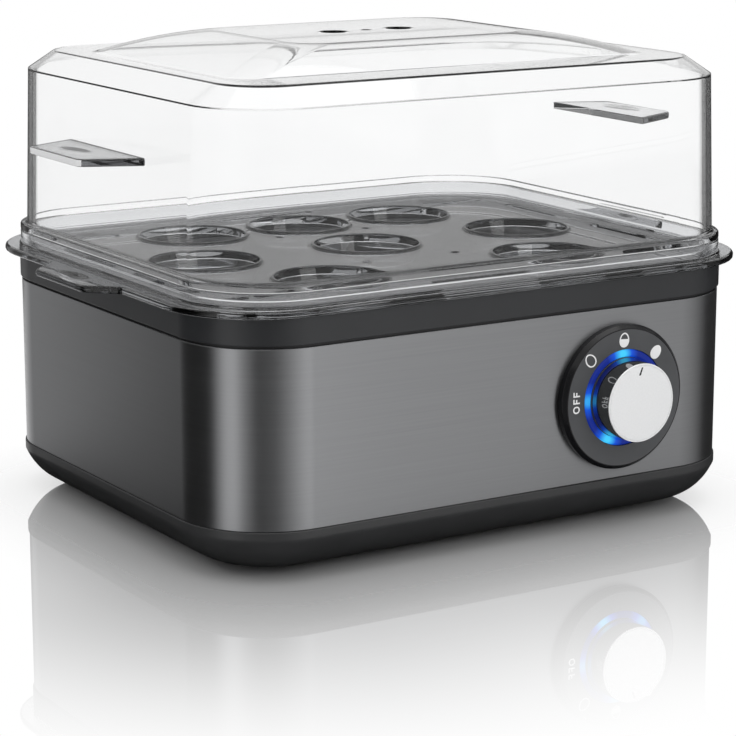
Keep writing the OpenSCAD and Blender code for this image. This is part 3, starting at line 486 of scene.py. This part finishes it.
def make_base():
    floor_top = BASE_Z + FLOOR_T
    edge = (LIP, BAND_Z - SKIRT_DROP)
    foot = (LIP - SKIRT_TUCK, BASE_Z)
    bend = (LIP - SKIRT_TUCK / 3, BASE_Z + (edge[1] - BASE_Z) / 4)
    skirt = [bezier(foot, bend, edge, k / SKIRT_STEPS) for k in range(SKIRT_STEPS + 1)]
    inside = [(u - SKIRT_T, z + FLOOR_T) for u, z in reversed(skirt)]
    top = path(
        (LIP, BAND_Z - 2.4, 0), (LIP, BAND_Z, 0.45), (-BAND_IN, BAND_Z, 0), (-BAND_IN, BAND_Z + SPIGOT_H, 0),
        (-SPIGOT_IN, BAND_Z + SPIGOT_H, 0), (-SPIGOT_IN, edge[1] + 2.4, 0),
    )
    shell = Shell()
    loops = shell.strips(shell.around(BODY, skirt + top + inside[1:]))
    below, above = [loops[0]], [loops[-1]]
    well = [(4.2, BASE_Z), (4.2, BAND_Z), (2.2, BAND_Z), (2.2, WELL_TOP), (6, WELL_TOP), (6, floor_top)]
    foot_hole = [(4.2, BASE_Z), (4.2, floor_top)]
    post = [(3.5, floor_top), (3.5, POST_TOP), (1.3, POST_TOP), (1.3, POST_FLOOR)]
    for sx, sy in SIGNS:
        for profile, inset in ((well, SCREW_IN), (foot_hole, FOOT_IN)):
            x, y = sx * (BODY_W / 2 - inset), sy * (BODY_D / 2 - inset)
            made = shell.turned(profile, 24, x=x, y=y)
            below.append(made[0])
            above.append(made[-1])
        x, y = sx * POST_REACH[0] + BOARD_MIDDLE[0], sy * POST_REACH[1] + BOARD_MIDDLE[1]
        made = shell.turned(post, 16, x=x, y=y)
        shell.fan(made[-1], (x, y, POST_FLOOR))
        above.append(made[0])
    for side in (-1, 1):
        for row in range(6):
            slot = rect(32, 4, 2, side * 25.6, (row - 2.5) * 8)
            profile = [(0.3, BASE_Z), (0, BASE_Z + 0.3), (0, floor_top)]
            cut = shell.strips(shell.around(slot, profile, 6))
            below.append(cut[0])
            above.append(cut[-1])
    shell.fill(*below)
    shell.fill(*above)
    return dress(shell.object("base_housing"), "base", "black_housing", [HOUSING], "base_shell")


# Band: thin sleeve with round edges and its two openings

DIAL_HOLE_R = 21.2
GLAND_HOLE_R = 6.2
HOLE_REACH = 4


def make_band():
    shell = Shell()
    profile = contour(
        [(0, BAND_Z, 0.35), (0, BAND_TOP, 0.35), (-BAND_T, BAND_TOP, 0.2), (-BAND_T, BAND_Z, 0.2)], steps=4,
    )
    shell.strips(shell.around(BODY, profile), closed=True)
    band = shell.object("band_sleeve")
    for place, r in ((DIAL, DIAL_HOLE_R), (GLAND, GLAND_HOLE_R)):
        tool = Shell(place)
        loops = tool.turned([(r, -HOLE_REACH), (r, HOLE_REACH)], 64)
        tool.fan(loops[0], (0, 0, -HOLE_REACH))
        tool.fan(loops[1], (0, 0, HOLE_REACH))
        combine(band, tool.object("hole"), "DIFFERENCE")
    return dress(band, "base", "brushed_band", [BAND_STEEL], "steel_band")


# Rim: lipped ring with the shadow groove under it and the ledge that carries the pan

LEDGE_T = 2.5


def make_rim():
    groove_z, ledge_z = BAND_TOP + 1.0, RIM_TOP - 5.5
    top = RIM_TOP - SEAT_GAP
    outer = path(
        (-SPIGOT_IN, BAND_TOP - SPIGOT_H, 0), (-BAND_IN, BAND_TOP - SPIGOT_H, 0.4),
        (-BAND_IN, BAND_TOP + 0.02, 0), (-0.9, BAND_TOP + 0.02, 0), (-0.9, groove_z, 0), (LIP, groove_z, 0.4),
        (LIP, top, 0.9), (-5.4, top, 0.8), (-5.4, ledge_z, 0),
    )
    opening = rect(190, 155, 41)
    shell = Shell()
    loops = shell.around(BODY, outer)
    loops += shell.around(opening, [(0, ledge_z), (0, ledge_z - LEDGE_T)])
    loops += shell.around(BODY, [(-SPIGOT_IN, ledge_z - LEDGE_T)])
    shell.strips(loops, closed=True)
    # Painted shade: the faces of the groove under the lip take the black second material
    for face in shell.mesh.faces:
        if BAND_TOP < face.calc_center_median().z / MM < groove_z + 0.02:
            face.material_index = 1
    return dress(shell.object("rim_ring"), "base", "rim_plastic", [RIM_PLASTIC, NOTCH_AND_GROOVE_SHADE], "upper_rim")


# Pan: flange, drawn wall and floor

def make_pan():
    lip_z, floor_z = RIM_TOP - 4.7, 70.0
    pan = rect(184, 149, 38)
    outside = path(
        (-8, floor_z - 1, 0), (1, floor_z - 1, 7), (1, lip_z, 1.2), (11, lip_z, 0.3), (11, lip_z + 1, 0.6),
        (0, lip_z + 1, 1.6), (0, floor_z, 6), (-8, floor_z, 0), steps=8,
    )
    shell = Shell()
    loops = shell.strips(shell.around(pan, outside))
    shell.fill(loops[0])
    shell.fill(loops[-1])
    return dress(shell.object("water_pan"), "base", "pan_steel", [PAN_COAT], "boil_pan")


# Tray: one moulding of flange, tabs, wall, rib, seats and slots

SEATS = [(sx * 46, sy * 50.5) for sx, sy in SIGNS] + [(0, 50.5), (-68, 0), (68, 0), (0, 0)]
SLOTS = [rect(42, 4, 2, 0, sy * 76.5) for sy in (-1, 1)]
# Slots in each quarter: width, depth, corner radius, x and y
CORNER_SLOTS = [(4, 42, 2, 98.3, 29), (16, 4, 2, 77, 66.5), (9, 4, 2, 92, 66.5), (3, 3, 1.5, 19, 31)]
PLATE_T = 2.6
FLANGE_R = 36
DISH_RINGS = (1.08, 1.0, 0.92, 0.83, 0.73, 0.62, 0.5, 0.35, 0.18)


def grip(sign, x0, x1, root, tip, r, heel):
    """Corners of a grip plate on the right side of an outline, or on the left one."""
    right = [(x0, -root / 2, heel), (x1, -tip / 2, r), (x1, tip / 2, r), (x0, root / 2, heel)]
    return right if sign > 0 else [(-x, -y, radius) for x, y, radius in right]


def dish(shell, x, z, long, wide, depth):
    """Oval finger dish with a soft brim in a flat top: returns its outer loop."""
    rings = []
    for share in DISH_RINGS:
        drop = depth * (1 - share * share) ** 2 if share < 1 else 0.0
        rings.append(shell.loop(circle(long / 2 * share, z - drop, 40, x, 0, wide / long)))
    shell.strips(rings)
    shell.fan(rings[-1], (x, 0, z - depth))
    return rings[0]


def make_tray():
    low, deck = RIM_TOP, RIM_TOP + PLATE_T
    half_w, half_d = BODY_W / 2 + 6, BODY_D / 2 + 3.3
    outline = []
    for sign in (1, -1):
        outline.append((sign * half_w, -sign * half_d, FLANGE_R))
        outline += grip(sign, half_w, half_w + 10.3, 57, 38, 4, 3)
        outline.append((sign * half_w, sign * half_d, FLANGE_R))
    shell = Shell()
    round_edge = path((-4, low, 0), (0, low, 1.0), (0, deck, 1.1), (-4, deck, 0), steps=6)
    edge = shell.strips(shell.around(outline, round_edge[1:-1], 12))
    top = TRAY_TOP - SEAT_GAP
    wall = path((3, deck, 0), (0, deck, 0.7), (0, top, 0.5), (-2, top, 0.5), (-2, deck, 0.7), (-5, deck, 0))
    wall = shell.strips(shell.around(BODY, wall[1:-1]))
    rib = path(
        (-3, low, 0), (-5.9, low, 0.4), (-5.9, low - 3, 0.5), (-7.7, low - 3, 0.5), (-7.7, low, 0.4),
        (-10, low, 0),
    )
    rib = shell.strips(shell.around(BODY, rib[1:-1]))
    above, below = [wall[-1]], [rib[-1]]
    cup = path(
        (24, deck, 0), (20.9, deck, 0.5), (20.5, deck + 0.8, 0.35), (19.5, deck + 0.8, 0.35),
        (19.5, deck, 1.0), (16.5, deck - 8, 0.5), (17.9, deck - 8, 0.5), (20.9, low, 0.8), (24, low, 0),
    )
    for x, y in SEATS:
        loops = shell.turned(cup[1:-1], 64, x=x, y=y)
        above.append(loops[0])
        below.append(loops[-1])
    slots = [rect(w, d, r, sx * x, sy * y) for sx, sy in SIGNS for w, d, r, x, y in CORNER_SLOTS]
    cut = [(0.45, deck), (0.13, deck - 0.13), (0, deck - 0.45), (0, low + 0.3), (0.3, low)]
    for slot in slots + SLOTS:
        loops = shell.strips(shell.around(slot, cut, 8))
        above.append(loops[0])
        below.append(loops[-1])
    shell.fill(*above)
    shell.fill(*below)
    dishes = [dish(shell, sign * (half_w + 4.1), deck, 22.8, 7.2, 0.9) for sign in (1, -1)]
    shell.fill(edge[-1], wall[0], *dishes)
    shell.fill(edge[0], rib[0])
    return dress(shell.object("tray_moulding"), "tray", "smoky_clear", [SMOKY], "egg_tray")


# Lid: one moulding of rim, leaning wall, chamfered shoulder, crown with vents and two handle plates

LID_T = 1.25
CROWN_H = 8.0
CROWN_SWELL = 5.6
CROWN_FOOT, CROWN_FLAT = Vector((170.6, 116.8)), Vector((98, 73))
CROWN_FOOT_R, CROWN_FLAT_R = 10, 13
CROWN_BRIM = 60
CROWN_SHARES = (-0.03, -0.012, 0.012, 0.03, 0.08, 0.16, 0.26, 0.38, 0.5, 0.62, 0.74, 0.86, 0.95, 1.0)
CROWN_TOP = rect(*CROWN_FLAT, CROWN_FLAT_R)
CROWN_IN = -1.2
VENT_X = 14
HANDLE_LOW, HANDLE_HIGH = 135.1, 137.8


def crown_rings(shell, lower):
    """Loops from the brim of the crown to its flat top, lowered for the inside."""
    loops = []
    for s in CROWN_SHARES:
        rising = max(s, 0)
        size = CROWN_FOOT.lerp(CROWN_FLAT, rising)
        corners = rect(size.x, size.y, CROWN_FOOT_R + (CROWN_FLAT_R - CROWN_FOOT_R) * rising)
        rise = CROWN_H * s + CROWN_SWELL * s * (1 - s) if s > 0 else 0
        out = -s * CROWN_BRIM if s < 0 else 0
        loops += shell.around(corners, [(out, LID_HIGH - CROWN_H - lower + rise)])
    return loops


def make_handle(sign):
    """Grip plate with a round edge and a finger dish, reaching into the wall."""
    x0, x1 = BODY_W / 2 - 4.8, BODY_W / 2 + 17
    corners = grip(sign, x0, x1, 60, 40, 4, 1.2)
    profile = path((-3, HANDLE_LOW, 0), (0, HANDLE_LOW, 0.6), (0, HANDLE_HIGH, 0.8), (-3, HANDLE_HIGH, 0))
    shell = Shell()
    loops = shell.strips(shell.around(corners, profile[1:-1], 10))
    shell.fill(loops[0])
    shell.fill(loops[-1], dish(shell, sign * (x1 - 8.5), HANDLE_HIGH, 28, 10.2, 0.2))
    return shell.object("handle")


def make_lid():
    rim_z = LID_LOW + 3.3
    rim_top = rim_z + 2.5
    shoulder_z = rim_top + 57.5
    top_z = shoulder_z + 6.5
    outer = path(
        (-4.7, LID_LOW + 2, 0), (-4.7, LID_LOW, 0.5), (-2.5, LID_LOW, 0.5), (-2.5, rim_z, 0.2),
        (0, rim_z, 0.5), (0, rim_top, 0.7), (-2.5, rim_top, 0.9), (-4.4, shoulder_z, 0.4),
        (-14.1, top_z, 1.2), (-18, top_z, 0), steps=6,
    )
    inner = path(
        (-18, top_z - LID_T, 0), (-14.9, top_z - LID_T, 0.8), (-5.97, shoulder_z - 0.87, 0.35),
        (-4.1, rim_top, 6), (-4.7, LID_LOW + 4, 0), steps=6,
    )
    shell = Shell()
    loops = shell.around(BODY, outer) + crown_rings(shell, 0)
    loops += shell.around(CROWN_TOP, [(CROWN_IN, LID_HIGH)])
    crown_out = loops[-1]
    shell.strips(loops)
    under = LID_HIGH - LID_T
    inside = shell.around(CROWN_TOP, [(CROWN_IN, under)]) + crown_rings(shell, LID_T)[::-1]
    crown_in = inside[0]
    inside += shell.around(BODY, inner) + [loops[0]]
    shell.strips(inside)
    vents_out, vents_in = [], []
    vent = [
        (6.2, LID_HIGH), (5.15, LID_HIGH), (4.88, LID_HIGH - 0.12), (4.75, LID_HIGH - 0.4),
        (4.75, under + 0.3), (5.05, under), (6.2, under),
    ]
    for side in (-1, 1):
        made = shell.turned(vent, 40, x=side * VENT_X)
        vents_out.append(made[0])
        vents_in.append(made[-1])
    gate_z = LID_HIGH - 0.28
    gate = shell.turned([(2.6, LID_HIGH), (1.7, LID_HIGH), (1.5, LID_HIGH - 0.22), (0.5, gate_z)], 24)
    shell.fan(gate[-1], (0, 0, gate_z))
    shell.fill(crown_out, *vents_out, gate[0])
    shell.fill(crown_in, *vents_in)
    lid = shell.object("hood_moulding")
    for sign in (-1, 1):
        combine(lid, make_handle(sign), "UNION")
    for face in lid.data.polygons:
        level = HANDLE_LOW - 0.1 < face.center.z / MM < HANDLE_HIGH + 0.2
        if level and abs(face.center.x) / MM > BODY_W / 2 - 2.4:
            face.material_index = 1
            # Painted light and shade on the grips: faces turned along x get the pale tip copy, faces turned
            # to front or back the dark flank copy
            if abs(face.normal.z) < 0.5:
                face.material_index = 2 if abs(face.normal.x) > abs(face.normal.y) else 3
    return dress(lid, "hood", "clear_plastic", [CLEAR, GRIP, LIT_GRIP_TIP, SHADED_GRIP_FLANK], "lid", sharp=50)


# Dial: bevelled plate, light guide, printed marks, polished knob and satin cap

FACE_Z = 3.8
DIAL_STEPS = 128
PLATE_R = (plate_high.x - plate_low.x) / 2
RING_R = (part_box("light_ring")[1].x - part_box("light_ring")[0].x) / MM / 2
RING_IN = RING_R - 2.7
KNOB_R = (knob_high.x - knob_low.x) / 2
KNOB_TIP = KNOB_R - 0.4
KNOB_OUT = -BODY_D / 2 - (knob_low.y - MID_Y)
KNOB_FACE = KNOB_OUT - 1.6
CAP_R = KNOB_TIP - 0.75
LAMPS = ((2, 0.7), (94, 1.0), (178, 0.78), (243, 1.0), (310, 0.8))


def make_dial():
    shell = Shell(DIAL)
    edge = PLATE_R - 1.4
    face = path(
        (4.7, 0, 0), (4.7, FACE_Z, 0.2), (RING_IN - 0.1, FACE_Z, 0.2), (RING_IN - 0.1, 1.2, 0),
        (RING_R + 0.1, 1.2, 0), (RING_R + 0.1, FACE_Z, 0.2), (edge - 0.3, FACE_Z, 0),
    )
    bevel = path(
        (edge - 0.3, FACE_Z, 0), (edge + 0.05, FACE_Z - 0.04, 0.2), (PLATE_R - 0.05, 2.3, 0.4),
        (PLATE_R, 0, 0.25), (21, 0, 0), (21, -4, 0.3), (19.6, -4, 0.3), (19.6, 0, 0),
    )
    face = shell.turned(face, DIAL_STEPS)
    shell.paint = 1
    rest = [shell.loop(circle(r, z, DIAL_STEPS)) for r, z in bevel[1:]]
    shell.strips([face[-1]] + rest + [face[0]])
    disc = shell.object("dial_disc")
    return dress(disc, "base", "dial_face", [DIAL_FACE, DIAL_GLOSS], "dial_plate", sharp=32)


def make_light():
    shell = Shell(DIAL)
    low, top = 1.25, FACE_Z + 0.2
    profile = contour([(RING_IN, low, 0), (RING_R, low, 0), (RING_R, top, 1.0), (RING_IN, top, 1.0)], steps=6)
    shell.turned(profile, DIAL_STEPS, closed=True)
    r = (RING_IN + RING_R) / 2
    spots = []
    for turn, power in LAMPS:
        angle = radians(turn)
        spots.append((DIAL @ Vector((r * cos(angle), r * sin(angle), FACE_Z)), power))
    return dress(shell.object("light_guide"), "base", "blue_light", [lit("blue_light", spots)], "light_ring")


PRINT_LOW, PRINT_HIGH = FACE_Z + 0.004, FACE_Z + 0.05
EGG_LONG, EGG_WIDE, EGG_LINE = 5.35, 4.3, 0.5
EGG_NARROWING = 0.09
EGG_MARKS = ((135.1, 21.5, "ring"), (91.7, 21.0, "half"), (48, 20.3, "full"))
STROKE, TALL, ROUND_W = 0.52, 2.85, 2.65
WORD_R = 21.1


def egg(length, width, count=40):
    """Egg outline with its narrow end up the y axis."""
    points = []
    for k in range(count):
        t = 2 * pi * k / count
        points.append((width / 2 * sin(-t) * (1 - EGG_NARROWING * cos(t)), length / 2 * cos(t)))
    return points


def placed(points, angle, r, turn):
    """Points turned about their own middle and set out from the dial's middle."""
    spin = Matrix.Rotation(turn, 2)
    out = []
    for p in points:
        q = spin @ Vector(p[:2])
        out.append((q.x + r * cos(angle), q.y + r * sin(angle)))
    return out


def print_on(shell, outer, *holes):
    """Thin printed patch on the dial's face."""
    tops, feet = [], []
    for outline in (outer, *holes):
        low, high = shell.loop(lifted(outline, PRINT_LOW)), shell.loop(lifted(outline, PRINT_HIGH))
        shell.strips([low, high])
        feet.append(low)
        tops.append(high)
    shell.fill(*tops)
    shell.fill(*feet)


def print_letter(shell, along, *outlines):
    """One letter of the word, which reads upwards on the left of the dial."""
    moved = ([(p[0] + along, p[1]) for p in outline] for outline in outlines)
    print_on(shell, *(placed(outline, pi, WORD_R, pi / 2) for outline in moved))


def make_prints():
    shell = Shell(DIAL)
    whole = egg(EGG_LONG, EGG_WIDE)
    inside = egg(EGG_LONG - 2 * EGG_LINE, EGG_WIDE - 2 * EGG_LINE)
    upper = sorted((p for p in inside if p[1] > 0.1), key=lambda p: atan2(p[0], p[1]), reverse=True)
    holes = {"full": [], "ring": [inside], "half": [upper]}
    for turn, r, kind in EGG_MARKS:
        angle = radians(turn)
        lean = angle - radians(95 if kind == "half" else 90)
        print_on(shell, *(placed(outline, angle, r, lean) for outline in [whole] + holes[kind]))
    half = TALL / 2
    letter_o = contour(rect(ROUND_W, TALL, ROUND_W / 2 - 0.05), steps=8)
    hole_r = ROUND_W / 2 - STROKE - 0.05
    letter_hole = contour(rect(ROUND_W - 2 * STROKE, TALL - 2 * STROKE, hole_r), steps=8)
    letter_f = [
        (0, -half), (STROKE, -half), (STROKE, -0.28), (1.6, -0.28), (1.6, 0.24), (STROKE, 0.24),
        (STROKE, half - STROKE), (1.8, half - STROKE), (1.8, half), (0, half),
    ]
    print_letter(shell, -2.0, letter_o, letter_hole)
    for along in (0.15, 2.65):
        print_letter(shell, along, letter_f)
    return dress(shell.object("dial_marks"), "base", "dial_face", [PRINT])


def make_knob():
    shell = Shell(DIAL)
    foot_z, bore, bore_end = FACE_Z + 0.5, 3.05, KNOB_FACE - 0.5
    hollow_r, hollow_end = KNOB_TIP - 1.5, KNOB_FACE - 2
    skirt = path(
        (bore, bore_end, 0), (bore, 7.5, 0.2), (5.4, 7.5, 0.2), (5.4, hollow_end, 0),
        (hollow_r, hollow_end, 0.5), (hollow_r, foot_z, 0.3), (KNOB_R, foot_z, 0.25),
        (KNOB_TIP, KNOB_OUT - 0.4, 0),
    )
    front = path(
        (KNOB_TIP, KNOB_OUT - 0.4, 0), (KNOB_TIP - 0.02, KNOB_OUT - 0.2, 0),
        (KNOB_TIP - 0.12, KNOB_OUT - 0.05, 0), (KNOB_TIP - 0.3, KNOB_OUT, 0),
        (CAP_R + 0.05, KNOB_OUT, 0.06), (CAP_R + 0.05, KNOB_FACE, 0),
    )
    loops = shell.turned(skirt, DIAL_STEPS)
    shell.fan(loops[0], (0, 0, bore_end))
    shell.paint = 1
    rest = [shell.loop(circle(r, z, DIAL_STEPS)) for r, z in front[1:]]
    shell.strips([loops[-1]] + rest)
    shell.fan(rest[-1], (0, 0, KNOB_FACE))
    return dress(shell.object("knob_skirt"), "dial_knob", "polished_metal", [POLISHED, SATIN], "knob")


def make_cap():
    """Disc with the pointer's dark slit and the bright facet beside it."""
    shell = Shell(DIAL)
    back = KNOB_FACE + 0.02
    profile = path((0, back, 0), (CAP_R, back, 0), (CAP_R, KNOB_OUT, 0.1), (0, KNOB_OUT, 0))
    loops = shell.turned(profile[1:-1], DIAL_STEPS)
    shell.fan(loops[0], (0, 0, back))
    tip, foot, half, slit = CAP_R - 0.6, CAP_R - 3.4, 1.3, 0.8
    shell.paint = 1
    dark = [(-0.15, tip, 0.05), (-half, foot, 0.05), (slit - half, foot, 0.05), (slit - 0.3, tip, 0.05)]
    slot = shell.strips(shell.around(dark, [(0, KNOB_OUT), (-0.02, KNOB_OUT - 0.05)], 3))
    shell.fill(slot[-1])
    shell.paint = 0
    pale = [(slit - 0.12, tip - 0.3), (slit - half + 0.15, foot), (half + 0.3, foot)]
    depths = (0.25, 0.25, 0.02)
    rim = shell.loop([(x, y, KNOB_OUT) for x, y in pale])
    floor = shell.loop([(x, y, KNOB_OUT - depth) for (x, y), depth in zip(pale, depths)])
    shell.strips([rim, floor])
    shell.fill(floor)
    shell.fill(loops[-1], slot[0], rim)
    return dress(shell.object("knob_face"), "dial_knob", "satin_metal", [SATIN, NOTCH_AND_GROOVE_SHADE], "knob_cap")


def make_gland():
    shell = Shell(GLAND)
    profile = contour([
        (3.3, -9, 0.4), (6, -9, 0.4), (6, 0, 0), (8.5, 0, 0.2), (8.5, 1.3, 0.5), (7, 2.6, 0.5),
        (3.3, 2.6, 0.6),
    ], steps=5)
    shell.turned(profile, 64, closed=True)
    return dress(shell.object("gland_body"), "base", "black_moulding", [GLAND_BLACK], "cord_gland")


make_base()
make_band()
make_rim()
make_pan()
make_tray()
make_lid()
make_dial()
make_light()
make_prints()
make_knob()
make_cap()
make_gland()


# Stage: white floor that mirrors close to the object, screens for gloss, a dark card under the floor as
# painted shadow, soft lamps and camera

# Lengths in metres, apart from the card's, which are in millimetres
FLOOR_REACH = 12.0
FLOOR_COLOUR = (0.95, 0.95, 0.955, 1)
FLOOR_INSET = 0.03
MIRROR_SHARE, MIRROR_REACH = 0.61, (0.02, 0.205)
WHITE_REACH = (0.015, 0.075)
WHITE = (1, 1, 1, 1)
TENT_STEPS, TENT_R = 120, 0.36
CARD_OUT, CARD_Z = 30, -2
WORLD_LIGHT = 0.82
WORLD_MIRRORED = 0.5


def bare(name):
    """New material with no nodes."""
    material = bpy.data.materials.new(name)
    material.use_nodes = True
    material.node_tree.nodes.clear()
    return material, material.node_tree


def set_up(name, points, faces, material):
    """Mesh that belongs to the stage and not to the object."""
    mesh = bpy.data.meshes.new(name)
    mesh.from_pydata(points, [], faces)
    mesh.materials.append(material)
    item = bpy.data.objects.new(name, mesh)
    bpy.context.scene.collection.objects.link(item)
    return item


def only_in_gloss(item):
    item.visible_camera = False
    item.visible_diffuse = False
    item.visible_shadow = False
    item.visible_transmission = False


def looked_at(tree, rays):
    """One for what the camera sees straight, mirrored or through something clear."""
    straight = calc(tree, "MAXIMUM", rays["Is Camera Ray"], rays["Is Glossy Ray"])
    return calc(tree, "MAXIMUM", straight, rays["Is Transmission Ray"])


def make_floor():
    material, tree = bare("floor_white")
    away = calc_vector(tree, "ABSOLUTE", own_place(tree))
    half = (BODY_W / 2 * MM - FLOOR_INSET, BODY_D / 2 * MM - FLOOR_INSET, 1)
    away = calc_vector(tree, "MAXIMUM", calc_vector(tree, "SUBTRACT", away, half), (0, 0, 0))
    apart = calc_vector(tree, "LENGTH", away, result="Value")
    mirror = ranged(tree, apart, MIRROR_SHARE, 0.0, *MIRROR_REACH, "SMOOTHSTEP")
    far = ranged(tree, apart, 0.0, 1.0, *WHITE_REACH)
    seen = looked_at(tree, add(tree, "ShaderNodeLightPath").outputs)
    white = calc(tree, "MULTIPLY", seen, far)
    diffuse = add(tree, "ShaderNodeBsdfDiffuse", {"Color": FLOOR_COLOUR}).outputs[0]
    glossy = add(tree, "ShaderNodeBsdfGlossy", {"Color": WHITE, "Roughness": 0.0}).outputs[0]
    glow = add(tree, "ShaderNodeEmission", {"Color": WHITE, "Strength": 1.0}).outputs[0]
    plain = add(tree, "ShaderNodeMixShader", {0: white, 1: diffuse, 2: glow}).outputs[0]
    both = add(tree, "ShaderNodeMixShader", {0: mirror, 1: plain, 2: glossy}).outputs[0]
    add(tree, "ShaderNodeOutputMaterial", {"Surface": both})
    corners = [(sx * FLOOR_REACH, sy * FLOOR_REACH, 0) for sx, sy in SIGNS]
    floor = set_up("floor", corners, [(0, 1, 2, 3)], material)
    floor.visible_glossy = False


def make_tent(name, low, high, stops):
    """Round screen seen only from within and only in gloss, not in the floor; stops are (bearing, level)."""
    material, tree = bare(name)
    inputs = {"Vector": own_place(tree)}
    bearing = add(tree, "ShaderNodeTexGradient", inputs, gradient_type="RADIAL").outputs["Fac"]
    ramp = add(tree, "ShaderNodeValToRGB", {"Fac": bearing})
    levels = ramp.color_ramp.elements
    while len(levels) > 1:
        levels.remove(levels[0])
    levels[0].position = 0.0
    for degrees, level in stops:
        levels.new(degrees / 360 + 0.5).color = (level, level, level, 1)
    levels.remove(levels[0])
    glow = add(tree, "ShaderNodeEmission", {"Color": ramp.outputs["Color"], "Strength": 1.0}).outputs[0]
    behind = add(tree, "ShaderNodeNewGeometry").outputs["Backfacing"]
    mirrored = add(tree, "ShaderNodeLightPath").outputs["Is Singular Ray"]
    hidden = calc(tree, "MAXIMUM", behind, mirrored)
    open_side = add(tree, "ShaderNodeBsdfTransparent").outputs[0]
    both = add(tree, "ShaderNodeMixShader", {0: hidden, 1: glow, 2: open_side}).outputs[0]
    add(tree, "ShaderNodeOutputMaterial", {"Surface": both})
    points = circle(TENT_R, low, TENT_STEPS) + circle(TENT_R, high, TENT_STEPS)
    faces = []
    for k in range(TENT_STEPS):
        after = (k + 1) % TENT_STEPS
        faces.append((k + TENT_STEPS, after + TENT_STEPS, after, k))
    only_in_gloss(set_up(name, points, faces, material))


def make_painted_shadow_card():
    """Dark card just under the floor, which the skirt mirrors where it nears the floor: painted shadow
    standing in for the floor's contact shadow, which the floor itself doesn't show in gloss.
    """
    points = [MIDDLE @ Vector((p.x, p.y, CARD_Z)) for p in contour(BODY, CARD_OUT, BODY_STEPS)]
    material = moulded("card_painted_shadow", (0.02, 0.02, 0.02), 0.9)
    only_in_gloss(set_up("painted_shadow_card", points, [tuple(range(len(points)))], material))


def make_world():
    """White surroundings, softer as light, and dimmer where they are mirrored and seen through plastic."""
    world = bpy.data.worlds.new("studio")
    bpy.context.scene.world = world
    world.use_nodes = True
    tree = world.node_tree
    tree.nodes.clear()
    rays = add(tree, "ShaderNodeLightPath").outputs
    strength = ranged(tree, looked_at(tree, rays), WORLD_LIGHT, 1.0, 0.0, 1.0)
    again = calc(tree, "GREATER_THAN", rays["Glossy Depth"], 0.5)
    again = calc(tree, "MULTIPLY", again, rays["Is Transmission Ray"])
    dimmed = ranged(tree, again, 1.0, WORLD_MIRRORED, 0.0, 1.0)
    strength = calc(tree, "MULTIPLY", strength, dimmed)
    light = add(tree, "ShaderNodeBackground", {"Color": WHITE, "Strength": strength}).outputs[0]
    add(tree, "ShaderNodeOutputWorld", {"Surface": light})


def aim(item, place, target):
    item.location = place
    item.rotation_euler = (Vector(target) - Vector(place)).to_track_quat("-Z", "Y").to_euler()


def make_lamp(name, place, target, wide, tall, power):
    data = bpy.data.lights.new(name, "AREA")
    data.shape = "RECTANGLE"
    data.size = wide
    data.size_y = tall
    data.energy = power
    lamp = bpy.data.objects.new(name, data)
    bpy.context.scene.collection.objects.link(lamp)
    aim(lamp, place, target)


def make_camera():
    data = bpy.data.cameras.new("camera")
    data.lens = 126.92
    data.sensor_width = 36.0
    camera = bpy.data.objects.new("camera", data)
    bpy.context.scene.collection.objects.link(camera)
    shift = MID_Y * MM
    aim(camera, (-0.50207, -0.81241 + shift, 0.26126), (0.00086, shift, 0.04663))
    bpy.context.scene.camera = camera


# Screens: levels of grey by bearing in degrees, with 0 on the right and 90 at the back
SIDES = [
    (-179.9, 0.03), (-174, 0.06), (-166, 0.6), (-160, 1.0), (-152, 1.0), (-146, 0.5), (-134, 0.1),
    (-118, 0.18), (-102, 0.5), (-83, 0.95), (-74, 0.68), (-56, 0.62), (-39, 0.5), (-29, 0.32), (-17, 0.05),
    (16, 0.03), (30, 0.12), (70, 0.12), (88, 0.9), (104, 0.9), (114, 0.64), (122, 0.5), (133, 0.25),
    (138, 0.17), (147, 0.03), (179.9, 0.03),
]
DARK_BACK = [(turn, 0.12 if 25 < turn < 110 else level) for turn, level in SIDES]
GRIP_BACK = sorted(DARK_BACK + [(31, 0.12), (34, 0.92), (43, 0.92), (47, 0.12)])
PALE_BACK = [(turn, 0.92 if -20 < turn < 110 else level) for turn, level in SIDES]
ABOVE = [
    (-179.9, 0.8), (-150, 0.95), (-110, 0.7), (-60, 0.9), (0, 0.9), (40, 0.95), (110, 0.95), (150, 0.7),
    (179.9, 0.8),
]

make_floor()
make_painted_shadow_card()
make_world()
make_tent("side_screen", -0.5, 0.02, SIDES)
make_tent("edge_screen", 0.02, 0.166, DARK_BACK)
make_tent("grip_screen", 0.166, 0.18, GRIP_BACK)
make_tent("shelf_screen", 0.18, 0.26, PALE_BACK)
make_tent("high_screen", 0.26, 0.5, ABOVE)
make_lamp("top_softbox", (0.1, 0.0, 1.4), (0, 0, 0.1), 1.3, 1.3, 6.0)
make_lamp("front_softbox", (0.5, -1.5, 0.9), (0, 0, 0.08), 1.0, 0.7, 5.0)
make_camera()

view = bpy.context.scene.view_settings
view.view_transform = "Standard"
